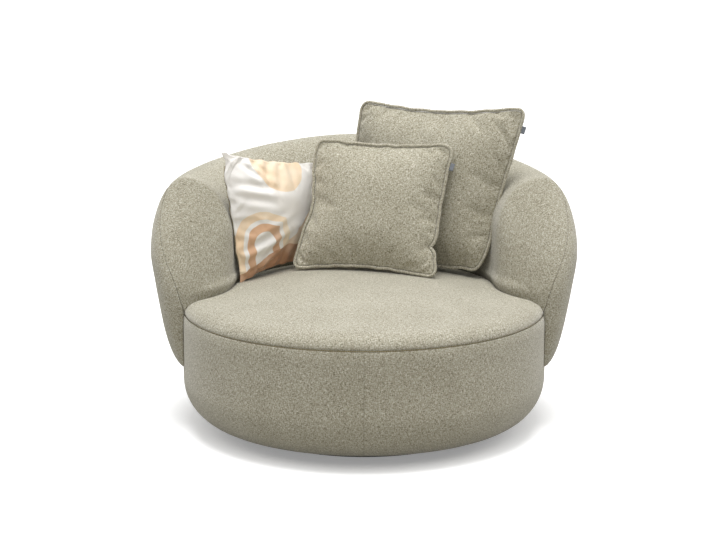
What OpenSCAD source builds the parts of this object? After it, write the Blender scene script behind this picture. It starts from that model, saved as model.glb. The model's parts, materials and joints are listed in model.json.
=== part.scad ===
// Round swivel armchair with a wrap-around back and three loose cushions.
// Millimetres, +Z up, +Y towards the back, origin on the swivel axis at floor level.

/* [Drum] */
// Outer radius of the round seat drum, over the fabric
drum_r = 570; // [520:1:640]
// Height of the seam between the seat top and the band below it
seam_z = 378; // [350:1:400]
// How far the seam sits inside the drum radius
seam_in = 4; // [0:1:10]
// Height of the middle of the crowned seat
crown_z = 472; // [455:1:485]
// Fall of the crown from its middle to the shoulder
crown_fall = 48; // [30:1:68]
// Width of the rounded shoulder between crown and seam
shoulder_w = 80; // [20:1:110]
// Height over which the band leans in to the seam
band_lean = 36; // [20:1:50]
// How far the band draws in under the drum
foot_in = 125; // [100:1:150]
// Height of the rounding at the foot of the band
foot_round = 141; // [100:1:160]
// Thickness of the upholstery fabric
cloth_t = 3; // [2:0.5:4]

/* [Swivel] */
// Thickness of the felt sheet on the floor
felt_t = 3; // [2:0.5:5]
// How far the hidden floor plinth stays inside the drum
plinth_in = 190; // [160:5:260]
// Thickness of the plinth board
plinth_t = 18; // [15:1:22]
// Side of the square swivel plates
plate_w = 300; // [250:5:320]
// Thickness of each swivel plate
plate_t = 2.5; // [2:0.5:4]
// Radius of the circle that the balls run on
race_r = 110; // [90:1:125]
// Diameter of a bearing ball
ball_d = 7.7; // [6:0.1:10]
// Number of bearing balls
ball_n = 24; // [12:1:30]
// Radius of the hollow rivet in the middle of the swivel
rivet_r = 20; // [15:1:30]
// Distance of the plate screws from the swivel axis, along X and Y
screw_at = 128; // [115:1:135]
// Shank diameter of the plate screws
screw_d = 6; // [5:0.5:8]

/* [Drum frame] */
// Thickness of the structural boards
board_t = 18; // [15:1:22]
// How far the bottom deck stays inside the band's foot
deck_in = 5; // [4:1:20]
// Height of the underside of the seat ring
ring_z = 320; // [290:1:328]
// Padding between the seat ring and the outside of the drum
ring_pad = 15; // [10:1:20]
// Width of the seat ring
ring_w = 155; // [130:1:190]
// Number of timber blocks between deck and seat ring
block_n = 8; // [6:1:12]
// Side of a timber block
block_w = 40; // [30:1:50]
// Thickness of the bent hardboard hoop
hoop_t = 4; // [3:0.5:6]
// Padding between the hoop and the outside of the drum
hoop_pad = 69; // [60:1:80]
// Height of the hoop's lower edge
hoop_z = 100; // [70:1:140]
// Width of a webbing strap
strap_w = 60; // [40:1:70]
// Thickness of a webbing strap
strap_t = 2; // [1.5:0.5:3]
// Number of webbing straps each way
strap_n = 6; // [4:1:8]
// Spacing of the webbing straps
strap_pitch = 120; // [100:1:125]

/* [Back and arms] */
// Height of the back's ridge at the rear
back_z = 843; // [810:1:880]
// Height of the ridge beside the swivel axis
arm_z = 772; // [740:1:800]
// How much lower the ridge runs between back and arms, in percent
ridge_dip = 52; // [0:1:70]
// How far the ridge stays inside the drum radius
ridge_in = 5; // [0:1:15]
// How far the back swells out over the drum
belly_out = 100; // [80:1:120]
// Height of the largest outer radius
belly_z = 555; // [520:1:580]
// Thickness of the back, from its inner wall to the outside of the drum
wall_in = 155; // [140:1:165]
// Height where the inner wall starts to curve out to the ridge
wall_z = 600; // [570:1:640]
// Height of the hem that hangs over the drum
hem_z = 212; // [190:1:240]
// How far the hem stands out from the drum
hem_out = 7; // [6:1:15]
// Angle from the rear at which an arm starts to round off
nose_from = 84; // [78:1:90]
// Angle that the rounded arm end takes
nose_turn = 17; // [12:1:20]
// Roundness of the arm ends in plan: 1 is an ellipse, less is blunter
nose_round = 0.7; // [0.6:0.05:1]
// Share of that turn that is gone at the height of the arm's ridge, in percent
nose_lean = 90; // [0:1:95]
// Height above which an arm end leans back
lean_z = 440; // [400:1:520]
// Height of the foot of the back, where it sits in the seat's slot
foot_z = 386; // [382:1:400]

/* [Back frame] */
// Radial depth of the frame's uprights
post_d = 70; // [50:1:80]
// Width of an upright
post_w = 45; // [35:1:55]
// Number of uprights
post_n = 9; // [7:1:11]
// Thickness of the inside foam, over the lining board
inside_pad = 31; // [28:1:36]
// Thickness of the bent lining boards
lining_t = 3; // [2:0.5:4]
// Thickness of the bent outer board that hangs over the drum
shell_t = 8; // [5:0.5:9]
// Height of the spacer rail between uprights and outer board
spacer_h = 40; // [30:1:50]

/* [Large cushion, sizes in percent of the back's inner radius] */
// Width along its bottom edge
large_w = 125.3; // [116:0.1:134]
// Height from its bottom to its top edge
large_h = 123.4; // [116:0.1:130]
// Thickness at its middle
large_t = 30.2; // [27:0.1:34]
// Middle of its bottom edge, from the swivel axis
large_at = [29.4, 52.8]; // [-70:0.1:70]
// Turn to face left and lean backwards, in degrees
large_turn = [28, 9]; // [-60:1:60]

/* [Small cushion, sizes in percent of the back's inner radius] */
// Width along its bottom edge
small_w = 108.9; // [104:0.1:116]
// Height from its bottom to its top edge
small_h = 98.3; // [94:0.1:106]
// Thickness at its middle
small_t = 25.1; // [22:0.1:28]
// Middle of its bottom edge, from the swivel axis
small_at = [-1.2, 21.4]; // [-70:0.1:70]
// Turn to face left and lean backwards, in degrees
small_turn = [18, 16]; // [-60:1:60]

/* [Satin cushion, sizes in percent of the back's inner radius] */
// Width along its bottom edge
satin_w = 94; // [89:0.1:99]
// Height from its bottom to its top edge
satin_h = 94.5; // [89:0.1:101]
// Thickness at its middle
satin_t = 23.1; // [19:0.1:25]
// Middle of its bottom edge, from the swivel axis
satin_at = [-60.6, 50.5]; // [-70:0.1:70]
// Turn to face left and lean backwards, in degrees
satin_turn = [-50, 3]; // [-60:1:60]

/* [Cushion making] */
// How far the middle of each side is drawn in, as a share of the half width
draw_in = 0.06; // [0:0.01:0.12]
// Radius of the piping cord in its cover
piping_r = 5; // [3:0.5:7]
// Thickness of a cushion cover
cover_t = 2; // [1.5:0.5:3]
// Radius of a zip's closed coil
zip_r = 2; // [1.5:0.5:3]
// Length of the folded tab outside the seam
tab_out = 12; // [8:1:20]
// Width of the tab along the seam
tab_w = 24; // [15:1:35]
// Thickness of the folded tab
tab_t = 1.6; // [1:0.2:3]

/* [Fits] */
// Clearance between parts that lie against each other
gap = 0.3; // [0.2:0.05:0.5]
// Radial running clearance of the swivel rivet
run_fit = 0.08; // [0.02:0.01:0.1]
// Clearance between ball and cage
ball_fit = 0.2; // [0.1:0.05:0.4]

/* [Hidden] */
$fn = 96;

// Fabric, board and metal colours
greige = [0.66, 0.64, 0.57];
greige_light = [0.72, 0.70, 0.64];
foam_colour = [0.93, 0.88, 0.70];
timber = [0.80, 0.66, 0.46];
hardboard = [0.55, 0.40, 0.27];
steel = [0.70, 0.71, 0.73];

// Radii, all from the drum's outside
foot_r = drum_r - foot_in;
plinth_r = drum_r - plinth_in;
deck_r = foot_r - deck_in;
ring_ro = drum_r - ring_pad;
ring_ri = ring_ro - ring_w;
hoop_r = drum_r - hoop_pad;
ridge_r = drum_r - ridge_in;
belly_r = drum_r + belly_out;
wall_r = drum_r - wall_in;
hem_r = drum_r + hem_out;

// Heights of the swivel stack, from the floor up
plinth_z = felt_t;
low_plate_z = plinth_z + plinth_t;
ball_z = low_plate_z + plate_t + ball_d / 2;
high_plate_z = low_plate_z + plate_t + ball_d + gap;
deck_z = high_plate_z + plate_t;
deck_top = deck_z + board_t;
ring_top = ring_z + board_t;
hoop_ri = hoop_r - hoop_t;
ring_screw_r = hoop_ri - block_w;
ring_screw_d = 5;
foot_lift = 9;
webbing_top = ring_top + 2 * strap_t;

// Outline of the drum's fabric, as points [radius, height]
seam_r = drum_r - seam_in;
shoulder_r = seam_r - shoulder_w;
shoulder_z = crown_z - crown_fall;
function crown(r) = crown_z - crown_fall * pow(r / shoulder_r, 2);
function crown_line(inset) = [for (r = [0 : shoulder_r / 12 : shoulder_r + 0.01]) [r, crown(r) - inset]];
function shoulder_line(inset) = [
    for (t = [75 : -15 : 0])
        [shoulder_r + (shoulder_w - inset) * cos(t), seam_z + (shoulder_z - seam_z - inset) * sin(t)]
];
band_low_z = low_plate_z + foot_lift + foot_round;
function foot_line(inset) = [
    for (t = [0 : 10 : 90])
        [foot_r + (drum_r - foot_r - inset) * cos(t), band_low_z - (foot_round - inset) * sin(t)]
];
function foot_height(r, inset) = band_low_z
    - (foot_round - inset) * sqrt(1 - pow((r - foot_r) / (drum_r - foot_r - inset), 2));
function band_line(inset) = concat(
    [[seam_r - inset, seam_z - gap], [drum_r - inset, seam_z - band_lean]], foot_line(inset));

// Stations along the back and arms: [angle from the rear, share of the full section,
// part of the angle that is gone where an arm end leans back]
nose_steps = [18, 36, 54, 72, 90];
body_stations = [for (a = [-nose_from : nose_from / 8 : nose_from + 0.01]) [a, 1, 0]];
function nose_side(side, inset, steps) = [
    for (t = steps)
        [side * (nose_from + (nose_turn - inset / ridge_r * 180 / PI) * pow(sin(t), nose_round)),
            t == 90 ? 0 : pow(cos(t), nose_round), side * nose_turn * pow(sin(t), nose_round)]
];
function backwards(list) = [for (i = [len(list) - 1 : -1 : 0]) list[i]];
function all_stations(inset) = concat(
    backwards(nose_side(-1, inset, nose_steps)), body_stations, nose_side(1, inset, nose_steps));

// Heights of the section's rungs. The rung at perch lies on the seat's crown.
perch = 4;
perch_z = foot_z;
mid_rung = 8;
low_rungs = concat(
    [for (i = [0 : perch - 1]) hem_z + (perch_z - hem_z) * i / perch],
    [for (i = [0 : 2]) perch_z + (belly_z - perch_z) * i / 2]);
arc_rungs = [15, 30, 45, 60, 75, 88];
top_rung = len(low_rungs) + len(arc_rungs) - 1;
function ridge_z(a) = arm_z + (back_z - arm_z) * cos(a) * (1 - ridge_dip / 100 * pow(sin(a), 2));
// The middle rung stays in the plane of the frame's top, which has no dip
function plane_z(a) = arm_z + (back_z - arm_z) * cos(a);
function rung_z(a, j, inset) = j < len(low_rungs) ? low_rungs[j]
    : belly_z + ((j == mid_rung ? plane_z(a) : ridge_z(a)) - inset - belly_z)
        * sin(arc_rungs[j - len(low_rungs)]);
function outer_r(a, z, inset) = z <= belly_z
    ? hem_r - inset + (belly_r - hem_r) * sqrt((z - hem_z) / (belly_z - hem_z))
    : ridge_r + (belly_r - inset - ridge_r)
        * sqrt(1 - pow((z - belly_z) / (ridge_z(a) - inset - belly_z), 2));
function inner_r(a, z, inset) = z <= wall_z ? wall_r + inset
    : ridge_r - (ridge_r - wall_r - inset)
        * sqrt(1 - pow((z - wall_z) / (ridge_z(a) - inset - wall_z), 2));
// An arm's end closes on one radius over the seat, and on another beside the band
tip_in = 10;
tip_r = drum_r - tip_in;
skirt_r = drum_r + 2 * gap + 2;
function closed_r(r, j, share) = let (c = j <= perch ? skirt_r : tip_r) c + (r - c) * share;
function closed_z(z, share) = z <= belly_z ? z : belly_z + (z - belly_z) * (0.25 + 0.75 * share);
function polar(a, r, z) = [r * sin(a), r * cos(a), z];
function lean(z) = nose_lean / 100 * pow(min(1, max(0, z - lean_z) / (arm_z - lean_z)), 1.4);
function leaning(s, r, z) = polar(s[0] - s[2] * lean(z), r, z);
function outer_point(s, j, inset) = let (z = rung_z(s[0], j, inset))
    leaning(s, closed_r(outer_r(s[0], z, inset), j, s[1]), closed_z(z, s[1]));
function inner_point(s, j, inset) = let (z = rung_z(s[0], j, inset))
    leaning(s, closed_r(inner_r(s[0], z, inset), j, s[1]), closed_z(z, s[1]));

// The back frame fits between two radii, under a plane that tilts with the ridge
foam_inset = cloth_t + gap;
lining_ri = wall_r + foam_inset + inside_pad - cloth_t;
shell_ri = skirt_r;
shell_ro = shell_ri + shell_t;
post_ri = lining_ri + lining_t;
post_ro = post_ri + post_d;
// Flat facets of the foam cut inside the round boards by this much
chord_gap = shell_ro * (1 - cos(nose_from / 16)) + gap;
layer_gap = 1;
frame_top = rung_z(90, mid_rung, foam_inset) - 2 * layer_gap;
frame_slope = (rung_z(0, mid_rung, foam_inset) - rung_z(90, mid_rung, foam_inset)) / ridge_r;
frame_tilt = atan(frame_slope);
base_rail_top = ring_top + board_t;
webbing_ro = lining_ri - 2 * gap;
spacer_z = crown(wall_r) + 10;

// The slot in the seat that the back and arm ends stand in, as an outline in plan
slot_rung = perch + 1;
function slot_inner(s) = let (p = inner_point([s[0], s[1], 0], slot_rung, -2 * gap)) [p[0], p[1]];
function slot_outer(s) = [belly_r * sin(s[0]), belly_r * cos(s[0])];
module back_slot() {
    edge = all_stations(-2 * gap);
    translate([0, 0, ring_top - 1]) linear_extrude(height = crown_z - ring_top + 2)
        polygon(concat([for (s = edge) slot_inner(s)], backwards([for (s = edge) slot_outer(s)])));
}

// Triangles for a quad whose corners run anticlockwise seen from outside
function quad(a, b, c, d) = [[a, b, c], [a, c, d]];
function flat(list) = [for (group = list) for (item = group) item];

// A bar whose section is a ladder: outer points, then inner points back down
module ladder_bar(outer, inner) {
    n = len(outer);
    m = len(outer[0]);
    ring = 2 * m;
    points = [for (i = [0 : n - 1]) for (k = [0 : ring - 1]) k < m ? outer[i][k] : inner[i][ring - 1 - k]];
    sides = [for (i = [0 : n - 2]) for (k = [0 : ring - 1]) let (l = (k + 1) % ring)
        quad(i * ring + k, (i + 1) * ring + k, (i + 1) * ring + l, i * ring + l)];
    first = [for (k = [0 : m - 2]) quad(k, k + 1, ring - 2 - k, ring - 1 - k)];
    last_at = (n - 1) * ring;
    last = [for (k = [0 : m - 2])
        quad(last_at + ring - 1 - k, last_at + ring - 2 - k, last_at + k + 1, last_at + k)];
    polyhedron(points, flat(concat(sides, first, last)));
}

// Fabric skin of the back over the cells that `part` keeps: 0 inside cover, 1 outside cover
ring_n = 2 * (top_rung + 1) - perch;
seam_rung = 10;
function in_cover(part, i, k, n) = let (body = i >= len(nose_steps) && i < n - 1 - len(nose_steps))
    (body && k < seam_rung) == (part == 1);
function skin_ring(s, inset) = [
    for (k = [0 : ring_n - 1])
        k <= top_rung ? outer_point(s, k, inset) : inner_point(s, 2 * top_rung + 1 - k, inset)
];
module back_skin(part) {
    out = all_stations(0);
    inn = all_stations(cloth_t);
    n = len(out);
    total = n * ring_n;
    points = concat([for (s = out) each skin_ring(s, 0)], [for (s = inn) each skin_ring(s, cloth_t)]);
    function tip(i) = i == 0 || i == n - 1;
    function at(i, k) = i * ring_n + (tip(i) && k > top_rung ? 2 * top_rung + 1 - k : k);
    function kept(i, k) = i >= 0 && i < n - 1 && k >= 0 && k < ring_n - 1 && in_cover(part, i, k, n);
    function wall(a, b) = quad(a, b, b + total, a + total);
    cells = [for (i = [0 : n - 2]) for (k = [0 : ring_n - 2]) if (kept(i, k)) [i, k]];
    outside = [for (c = cells) let (i = c[0], k = c[1])
        if (!(tip(i) && k == top_rung) && !(tip(i + 1) && k == top_rung))
            quad(at(i, k), at(i + 1, k), at(i + 1, k + 1), at(i, k + 1))];
    ends = [for (c = cells) let (i = c[0], k = c[1])
        if (k == top_rung && (tip(i) || tip(i + 1)))
            [tip(i) ? [at(i, k), at(i + 1, k), at(i + 1, k + 1)]
                : [at(i, k), at(i + 1, k), at(i, k + 1)]]];
    skin = flat(concat(outside, ends));
    lining = [for (t = skin) [t[2] + total, t[1] + total, t[0] + total]];
    rims = flat(concat(
        [for (c = cells) if (!kept(c[0], c[1] - 1)) wall(at(c[0] + 1, c[1]), at(c[0], c[1]))],
        [for (c = cells) if (!kept(c[0], c[1] + 1)) wall(at(c[0], c[1] + 1), at(c[0] + 1, c[1] + 1))],
        [for (c = cells) if (!kept(c[0] - 1, c[1]) && (c[0] > 0 || c[1] < perch))
            wall(at(c[0], c[1]), at(c[0], c[1] + 1))],
        [for (c = cells) if (!kept(c[0] + 1, c[1]) && (c[0] < n - 2 || c[1] < perch))
            wall(at(c[0] + 1, c[1] + 1), at(c[0] + 1, c[1]))]));
    polyhedron(points, concat(skin, lining, rims));
}

// A sector ring about the swivel axis, centred on the rear
module sector(ri, ro, z, h, half_turn) {
    rotate([0, 0, 90 - half_turn]) rotate_extrude(angle = 2 * half_turn)
        translate([ri, z]) square([ro - ri, h]);
}

// What lies below the frame's tilted top plane, lowered by `down`
module under_frame_top(down) {
    intersection() {
        children();
        translate([0, 0, frame_top - down]) rotate([frame_tilt, 0, 0])
            translate([-drum_r * 2, -drum_r * 2, -back_z]) cube([drum_r * 4, drum_r * 4, back_z]);
    }
}

// Cushions. Local frame: x to the right, y to the back, z up its leaning face.
// Corner pulls move bottom left, bottom right, top right and top left, as [x, z].
// The rim is half as thick as the cloth and filling at the seam.
cushion_cells = 9;
rim_t = 2.4;
unit = wall_r / 100;
large_cut = unit * [large_w, large_h, large_t];
small_cut = unit * [small_w, small_h, small_t];
satin_cut = unit * [satin_w, satin_h, satin_t];
large_pull = unit * [[0, -5.1], [0.5, -1.4], [28.4, 1.4], [18.3, -1]];
small_pull = unit * [[-1.4, 0], [0.5, 0], [8.2, 1.9], [10.6, 1.4]];
satin_pull = unit * [[0, -2.2], [0, 1.4], [-9.6, -14], [-17.3, 6.3]];
function share(i) = sin(-90 + 180 * i / cushion_cells);
function bend(v) = draw_in * (1 - v * v);
function flat_point(cut, pull, u, v) = let (
    a = (1 + u * (1 - bend(v))) / 2,
    b = (1 + v * (1 - bend(u))) / 2)
    [cut[0] * (a - 1 / 2), cut[1] * b] + (1 - a) * (1 - b) * pull[0] + a * (1 - b) * pull[1]
        + a * b * pull[2] + (1 - a) * b * pull[3];
function swell(cut, u, v) = cut[2] / 2 * pow(max(0, (1 - u * u) * (1 - v * v)), 0.42);

// Closed pillow; `inset` shrinks it on every side
module pillow(cut, pull, inset) {
    n = cushion_cells;
    shrink = 1 - 2 * inset / cut[0];
    layer = (n + 1) * (n + 1);
    half = [for (side = [-1, 1]) for (i = [0 : n]) for (j = [0 : n]) let (
        u = share(i), v = share(j),
        p = flat_point(cut, pull, u * shrink, v * shrink),
        y = max(swell(cut, u, v) - inset, 0) + rim_t - inset * 0.6)
        [p[0], side * y, p[1]]];
    function at(side, i, j) = side * layer + i * (n + 1) + j;
    front = [for (i = [0 : n - 1]) for (j = [0 : n - 1])
        quad(at(0, i, j), at(0, i, j + 1), at(0, i + 1, j + 1), at(0, i + 1, j))];
    back = [for (i = [0 : n - 1]) for (j = [0 : n - 1])
        quad(at(1, i, j), at(1, i + 1, j), at(1, i + 1, j + 1), at(1, i, j + 1))];
    edge = concat(
        [for (i = [0 : n - 1]) quad(at(0, i + 1, 0), at(1, i + 1, 0), at(1, i, 0), at(0, i, 0))],
        [for (i = [0 : n - 1]) quad(at(0, i, n), at(1, i, n), at(1, i + 1, n), at(0, i + 1, n))],
        [for (j = [0 : n - 1]) quad(at(0, 0, j), at(1, 0, j), at(1, 0, j + 1), at(0, 0, j + 1))],
        [for (j = [0 : n - 1]) quad(at(0, n, j + 1), at(1, n, j + 1), at(1, n, j), at(0, n, j))]);
    polyhedron(half, flat(concat(front, back, edge)));
}

module pillow_cover(cut, pull) {
    difference() {
        pillow(cut, pull, 0);
        pillow(cut, pull, cover_t);
    }
}

// Edge of a cushion as points, from its bottom left corner round to it again
function edge_points(cut, pull) = let (n = cushion_cells) concat(
    [for (i = [0 : n - 1]) flat_point(cut, pull, share(i), -1)],
    [for (i = [0 : n - 1]) flat_point(cut, pull, 1, share(i))],
    [for (i = [0 : n - 1]) flat_point(cut, pull, -share(i), 1)],
    [for (i = [0 : n - 1]) flat_point(cut, pull, -1, -share(i))]);
function outward(list, i) = let (
    n = len(list), d = list[(i + 1) % n] - list[(i + n - 1) % n])
    [d[1], -d[0]] / norm(d);

// Tube round part of the edge, `out` from it in the cushion's plane and `y` behind it
module edge_tube(edge, from, to, out, y, r, closed) {
    sides = 5;
    rings = [for (i = [from : to]) let (k = i % len(edge), o = outward(edge, k), c = edge[k] + o * out)
        [for (s = [0 : sides - 1]) let (q = c + o * r * cos(s * 360 / sides))
            [q[0], y + r * sin(s * 360 / sides), q[1]]]];
    n = len(rings);
    laps = closed ? n : n - 1;
    walls = [for (i = [0 : laps - 1]) for (s = [0 : sides - 1]) let (l = (i + 1) % n, t = (s + 1) % sides)
        quad(i * sides + s, l * sides + s, l * sides + t, i * sides + t)];
    last = (n - 1) * sides;
    caps = closed ? [] : concat(
        [for (s = [1 : sides - 2]) [0, s, s + 1]],
        [for (s = [1 : sides - 2]) [last, last + s + 1, last + s]]);
    polyhedron(flat(rings), concat(flat(walls), caps));
}
module piping(cut, pull) {
    edge = edge_points(cut, pull);
    edge_tube(edge, 0, len(edge) - 1, piping_r + gap, 0, piping_r, true);
}
module bottom_zip(cut, pull) {
    edge_tube(edge_points(cut, pull), 2, cushion_cells - 2, 0, rim_t + 2 * (zip_r + gap), zip_r, false);
}
module seam_tab(cut, pull) {
    edge = edge_points(cut, pull);
    k = 2 * cushion_cells - 2;
    d = outward(edge, k);
    c = edge[k] + d * (2 * piping_r + 2 * gap + 0.5);
    translate([c[0], -tab_t / 2, c[1]]) rotate([0, -atan2(d[1], d[0]), 0])
        translate([0, 0, -tab_w / 2]) cube([tab_out, tab_t, tab_w]);
}

// Height at which a cushion's bottom edge, `out` wider and r thick, just clears the crowned seat
function rest_z(at, turn, edge, out, r) = gap + max([
    for (k = [0 : cushion_cells]) let (
        c = edge[k] + outward(edge, k) * out,
        back = c[1] * sin(turn[1]),
        x = at[0] + c[0] * cos(turn[0]) + back * sin(turn[0]),
        y = at[1] - c[0] * sin(turn[0]) + back * cos(turn[0]))
        crown(norm([x, y])) - c[1] * cos(turn[1]) + r]);
module place(at, turn, edge, out, r)
    translate([at[0], at[1], rest_z(at, turn, edge, out, r)]) rotate([-turn[1], 0, -turn[0]]) children();
module place_large() place(unit * large_at, large_turn, edge_points(large_cut, large_pull),
    piping_r + gap, piping_r) children();
module place_small() place(unit * small_at, small_turn, edge_points(small_cut, small_pull),
    piping_r + gap, piping_r) children();
module place_satin() place(unit * satin_at, satin_turn, edge_points(satin_cut, satin_pull),
    0, gap) children();

// Spots of the four plate screws
module at_screws() for (x = [-1, 1]) for (y = [-1, 1]) translate([x * screw_at, y * screw_at, 0]) children();

// Floor base
module floor_felt() color([0.20, 0.20, 0.21]) cylinder(r = plinth_r - 5, h = felt_t);

module plinth_board() color([0.16, 0.15, 0.15]) difference() {
    translate([0, 0, plinth_z]) cylinder(r = plinth_r, h = plinth_t);
    at_screws() translate([0, 0, low_plate_z - board_t + 3]) cylinder(d = screw_d, h = board_t);
}

module swivel_plate(z, bore_r) difference() {
    translate([-plate_w / 2, -plate_w / 2, z]) cube([plate_w, plate_w, plate_t]);
    translate([0, 0, z - 1]) cylinder(r = bore_r, h = plate_t + 2);
    at_screws() translate([0, 0, z - 1]) cylinder(d = screw_d + 1, h = plate_t + 2);
}

module lower_swivel_plate() color(steel) swivel_plate(low_plate_z, rivet_r + gap);

module lower_plate_screws() color([0.85, 0.76, 0.48]) at_screws() {
    translate([0, 0, low_plate_z - board_t + 3 + gap]) cylinder(d = screw_d - 2 * gap, h = board_t + plate_t - 3);
    translate([0, 0, low_plate_z + plate_t]) cylinder(d = screw_d * 2, h = 3);
}

module on_race() for (i = [0 : ball_n - 1]) rotate([0, 0, i * 360 / ball_n]) translate([race_r, 0, ball_z]) children();

module bearing_balls() color([0.85, 0.86, 0.88]) on_race() sphere(d = ball_d, $fn = 32);

module ball_cage() color([0.30, 0.32, 0.34]) difference() {
    translate([0, 0, ball_z - 1]) difference() {
        cylinder(r = race_r + ball_d, h = 2);
        translate([0, 0, -1]) cylinder(r = race_r - ball_d, h = 4);
    }
    on_race() translate([0, 0, -2]) cylinder(d = ball_d + 2 * ball_fit, h = 4);
}

// Hollow rivet: a sleeve through both plates, flared over the upper one
module centre_rivet() color(steel) difference() {
    union() {
        translate([0, 0, low_plate_z]) cylinder(r = rivet_r, h = deck_z + gap - low_plate_z + 2);
        translate([0, 0, low_plate_z + plate_t]) cylinder(r = rivet_r + 5, h = ball_d - 1);
        translate([0, 0, deck_z + gap]) cylinder(r = rivet_r + 6, h = 2);
    }
    translate([0, 0, low_plate_z - 1]) cylinder(r = rivet_r - 3, h = deck_z - low_plate_z + 10);
}

// Turning seat: swivel side and drum frame
module upper_swivel_plate() color(steel) swivel_plate(high_plate_z, rivet_r + run_fit);

module upper_plate_bolts() color([0.85, 0.76, 0.48]) at_screws() {
    translate([0, 0, high_plate_z]) cylinder(d = screw_d - 2 * gap, h = board_t + plate_t);
    translate([0, 0, high_plate_z - 2.5]) cylinder(d = screw_d * 2, h = 2.5);
}

module deck_tee_nuts() color(steel) at_screws() difference() {
    union() {
        translate([0, 0, deck_top + gap]) cylinder(d = screw_d * 3, h = 1.5);
        translate([0, 0, deck_top - 10]) cylinder(d = screw_d + 3, h = 11);
    }
    translate([0, 0, deck_top - 11]) cylinder(d = screw_d, h = 16);
}

module bottom_deck() color(timber) difference() {
    translate([0, 0, deck_z]) cylinder(r = deck_r, h = board_t);
    translate([0, 0, deck_z - 1]) cylinder(r = rivet_r + 12, h = board_t + 2);
    at_screws() translate([0, 0, deck_z - 1]) cylinder(d = screw_d + 1, h = board_t + 2);
    at_screws() translate([0, 0, deck_top - 10 - gap]) cylinder(d = screw_d + 3 + 2 * gap, h = 11);
}

// Blocks stand on the deck's edge and reach out to the hoop
module drum_blocks() color(timber) for (i = [0 : block_n - 1]) rotate([0, 0, (i + 0.5) * 360 / block_n])
    translate([deck_r - block_w, -block_w / 2, deck_top])
        cube([sqrt(pow(hoop_ri - gap, 2) - pow(block_w / 2, 2)) - deck_r + block_w, block_w, ring_z - deck_top]);

module drum_hoop() color(hardboard) translate([0, 0, hoop_z]) difference() {
    cylinder(r = hoop_r, h = ring_z - hoop_z, $fn = 180);
    translate([0, 0, -1]) cylinder(r = hoop_ri, h = ring_z - hoop_z + 2, $fn = 180);
}

module ring_screw_spots() for (i = [0 : block_n - 1]) rotate([0, 0, (i + 0.5) * 360 / block_n])
    translate([ring_screw_r, 0, 0]) children();

module seat_ring() color(timber) difference() {
    translate([0, 0, ring_z]) cylinder(r = ring_ro, h = board_t);
    translate([0, 0, ring_z - 1]) cylinder(r = ring_ri, h = board_t + 2);
    ring_screw_spots() translate([0, 0, ring_z - 1]) cylinder(d = ring_screw_d, h = board_t + 2, $fn = 24);
    back_screw_spots() cylinder(d = ring_screw_d, h = board_t, $fn = 24);
}

module ring_screws() color([0.85, 0.76, 0.48]) ring_screw_spots()
    translate([0, 0, ring_z]) cylinder(d = ring_screw_d - 2 * gap, h = board_t, $fn = 24);

module straps(z) for (i = [0 : strap_n - 1]) let (
    x = (i - (strap_n - 1) / 2) * strap_pitch,
    reach = sqrt(pow(webbing_ro, 2) - pow(abs(x) + strap_w / 2, 2)))
    translate([x - strap_w / 2, -reach, z]) cube([strap_w, 2 * reach, strap_t]);

module webbing_front_back() color([0.22, 0.22, 0.24]) straps(ring_top);

module webbing_left_right() color([0.45, 0.42, 0.38]) rotate([0, 0, 90]) straps(ring_top + strap_t);

// Foam and fabric of the drum
module seat_foam() color(foam_colour) difference() {
    rotate_extrude() polygon(concat(
        crown_line(foam_inset), shoulder_line(foam_inset),
        [[seam_r - foam_inset, seam_z - 2], [seam_r - foam_inset, webbing_top + gap], [0, webbing_top + gap]]));
    back_slot();
}

module seat_cover() color(greige_light) difference() {
    rotate_extrude() polygon(concat(
        crown_line(0), shoulder_line(0), [[seam_r, seam_z]],
        [[seam_r - cloth_t, seam_z]], backwards(shoulder_line(cloth_t)), backwards(crown_line(cloth_t))));
    back_slot();
}

module drum_side_foam() color(foam_colour) rotate_extrude() polygon(concat(
    [[hoop_r + gap, ring_z - gap], [ring_ro + gap, ring_z - gap], [ring_ro + gap, webbing_top]],
    [[drum_r - foam_inset - 1, min(webbing_top, seam_z - band_lean)]],
    [for (p = foot_line(foam_inset)) if (p[0] > hoop_r + gap) p],
    [[hoop_r + gap, foot_height(hoop_r, foam_inset) + 2 * gap]]));

module drum_band_cover() color(greige) rotate_extrude() polygon(concat(
    band_line(0), backwards(band_line(cloth_t))));

module dust_cover() color([0.12, 0.12, 0.12]) translate([0, 0, deck_z - 1 - gap]) difference() {
    cylinder(r = foot_r - 2, h = 1);
    translate([0, 0, -1]) cylinder(r = plate_w * 0.72, h = 3);
}

// Frame of the back and arms
module at_posts() for (i = [0 : post_n - 1])
    rotate([0, 0, -(nose_from - 6) + i * 2 * (nose_from - 6) / (post_n - 1)]) children();

back_screw_z = ring_top - 12;
module back_screw_spots() at_posts() translate([0, post_ri + post_d / 2, back_screw_z]) children();

module back_base_rail() color(timber) difference() {
    sector(lining_ri, ring_ro, ring_top, board_t, nose_from);
    back_screw_spots() cylinder(d = ring_screw_d, h = board_t * 2, $fn = 24);
}

module back_uprights() color(timber) under_frame_top(board_t) at_posts()
    translate([-post_w / 2, post_ri + 2, base_rail_top]) cube([post_w, post_d - 4, back_z]);

module back_top_rail() color(timber) difference() {
    under_frame_top(0) sector(post_ri + gap, shell_ri - gap, spacer_z, back_z - spacer_z, nose_from);
    under_frame_top(board_t) sector(post_ri - gap, shell_ri + gap, spacer_z - gap, back_z, 180);
}

module arm_end_boards() color(timber) under_frame_top(board_t) for (side = [-1, 1])
    rotate([0, 0, -side * nose_from]) translate([side > 0 ? -board_t : 0, post_ri + 2, base_rail_top])
        cube([board_t, post_d - 4, back_z]);

module spacer_rail() color(timber) sector(post_ro - 1.4, shell_ri - gap, spacer_z, spacer_h, nose_from);

module inner_lining_board() color(hardboard) under_frame_top(0)
    sector(lining_ri, post_ri, base_rail_top, back_z - base_rail_top, nose_from);

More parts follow.
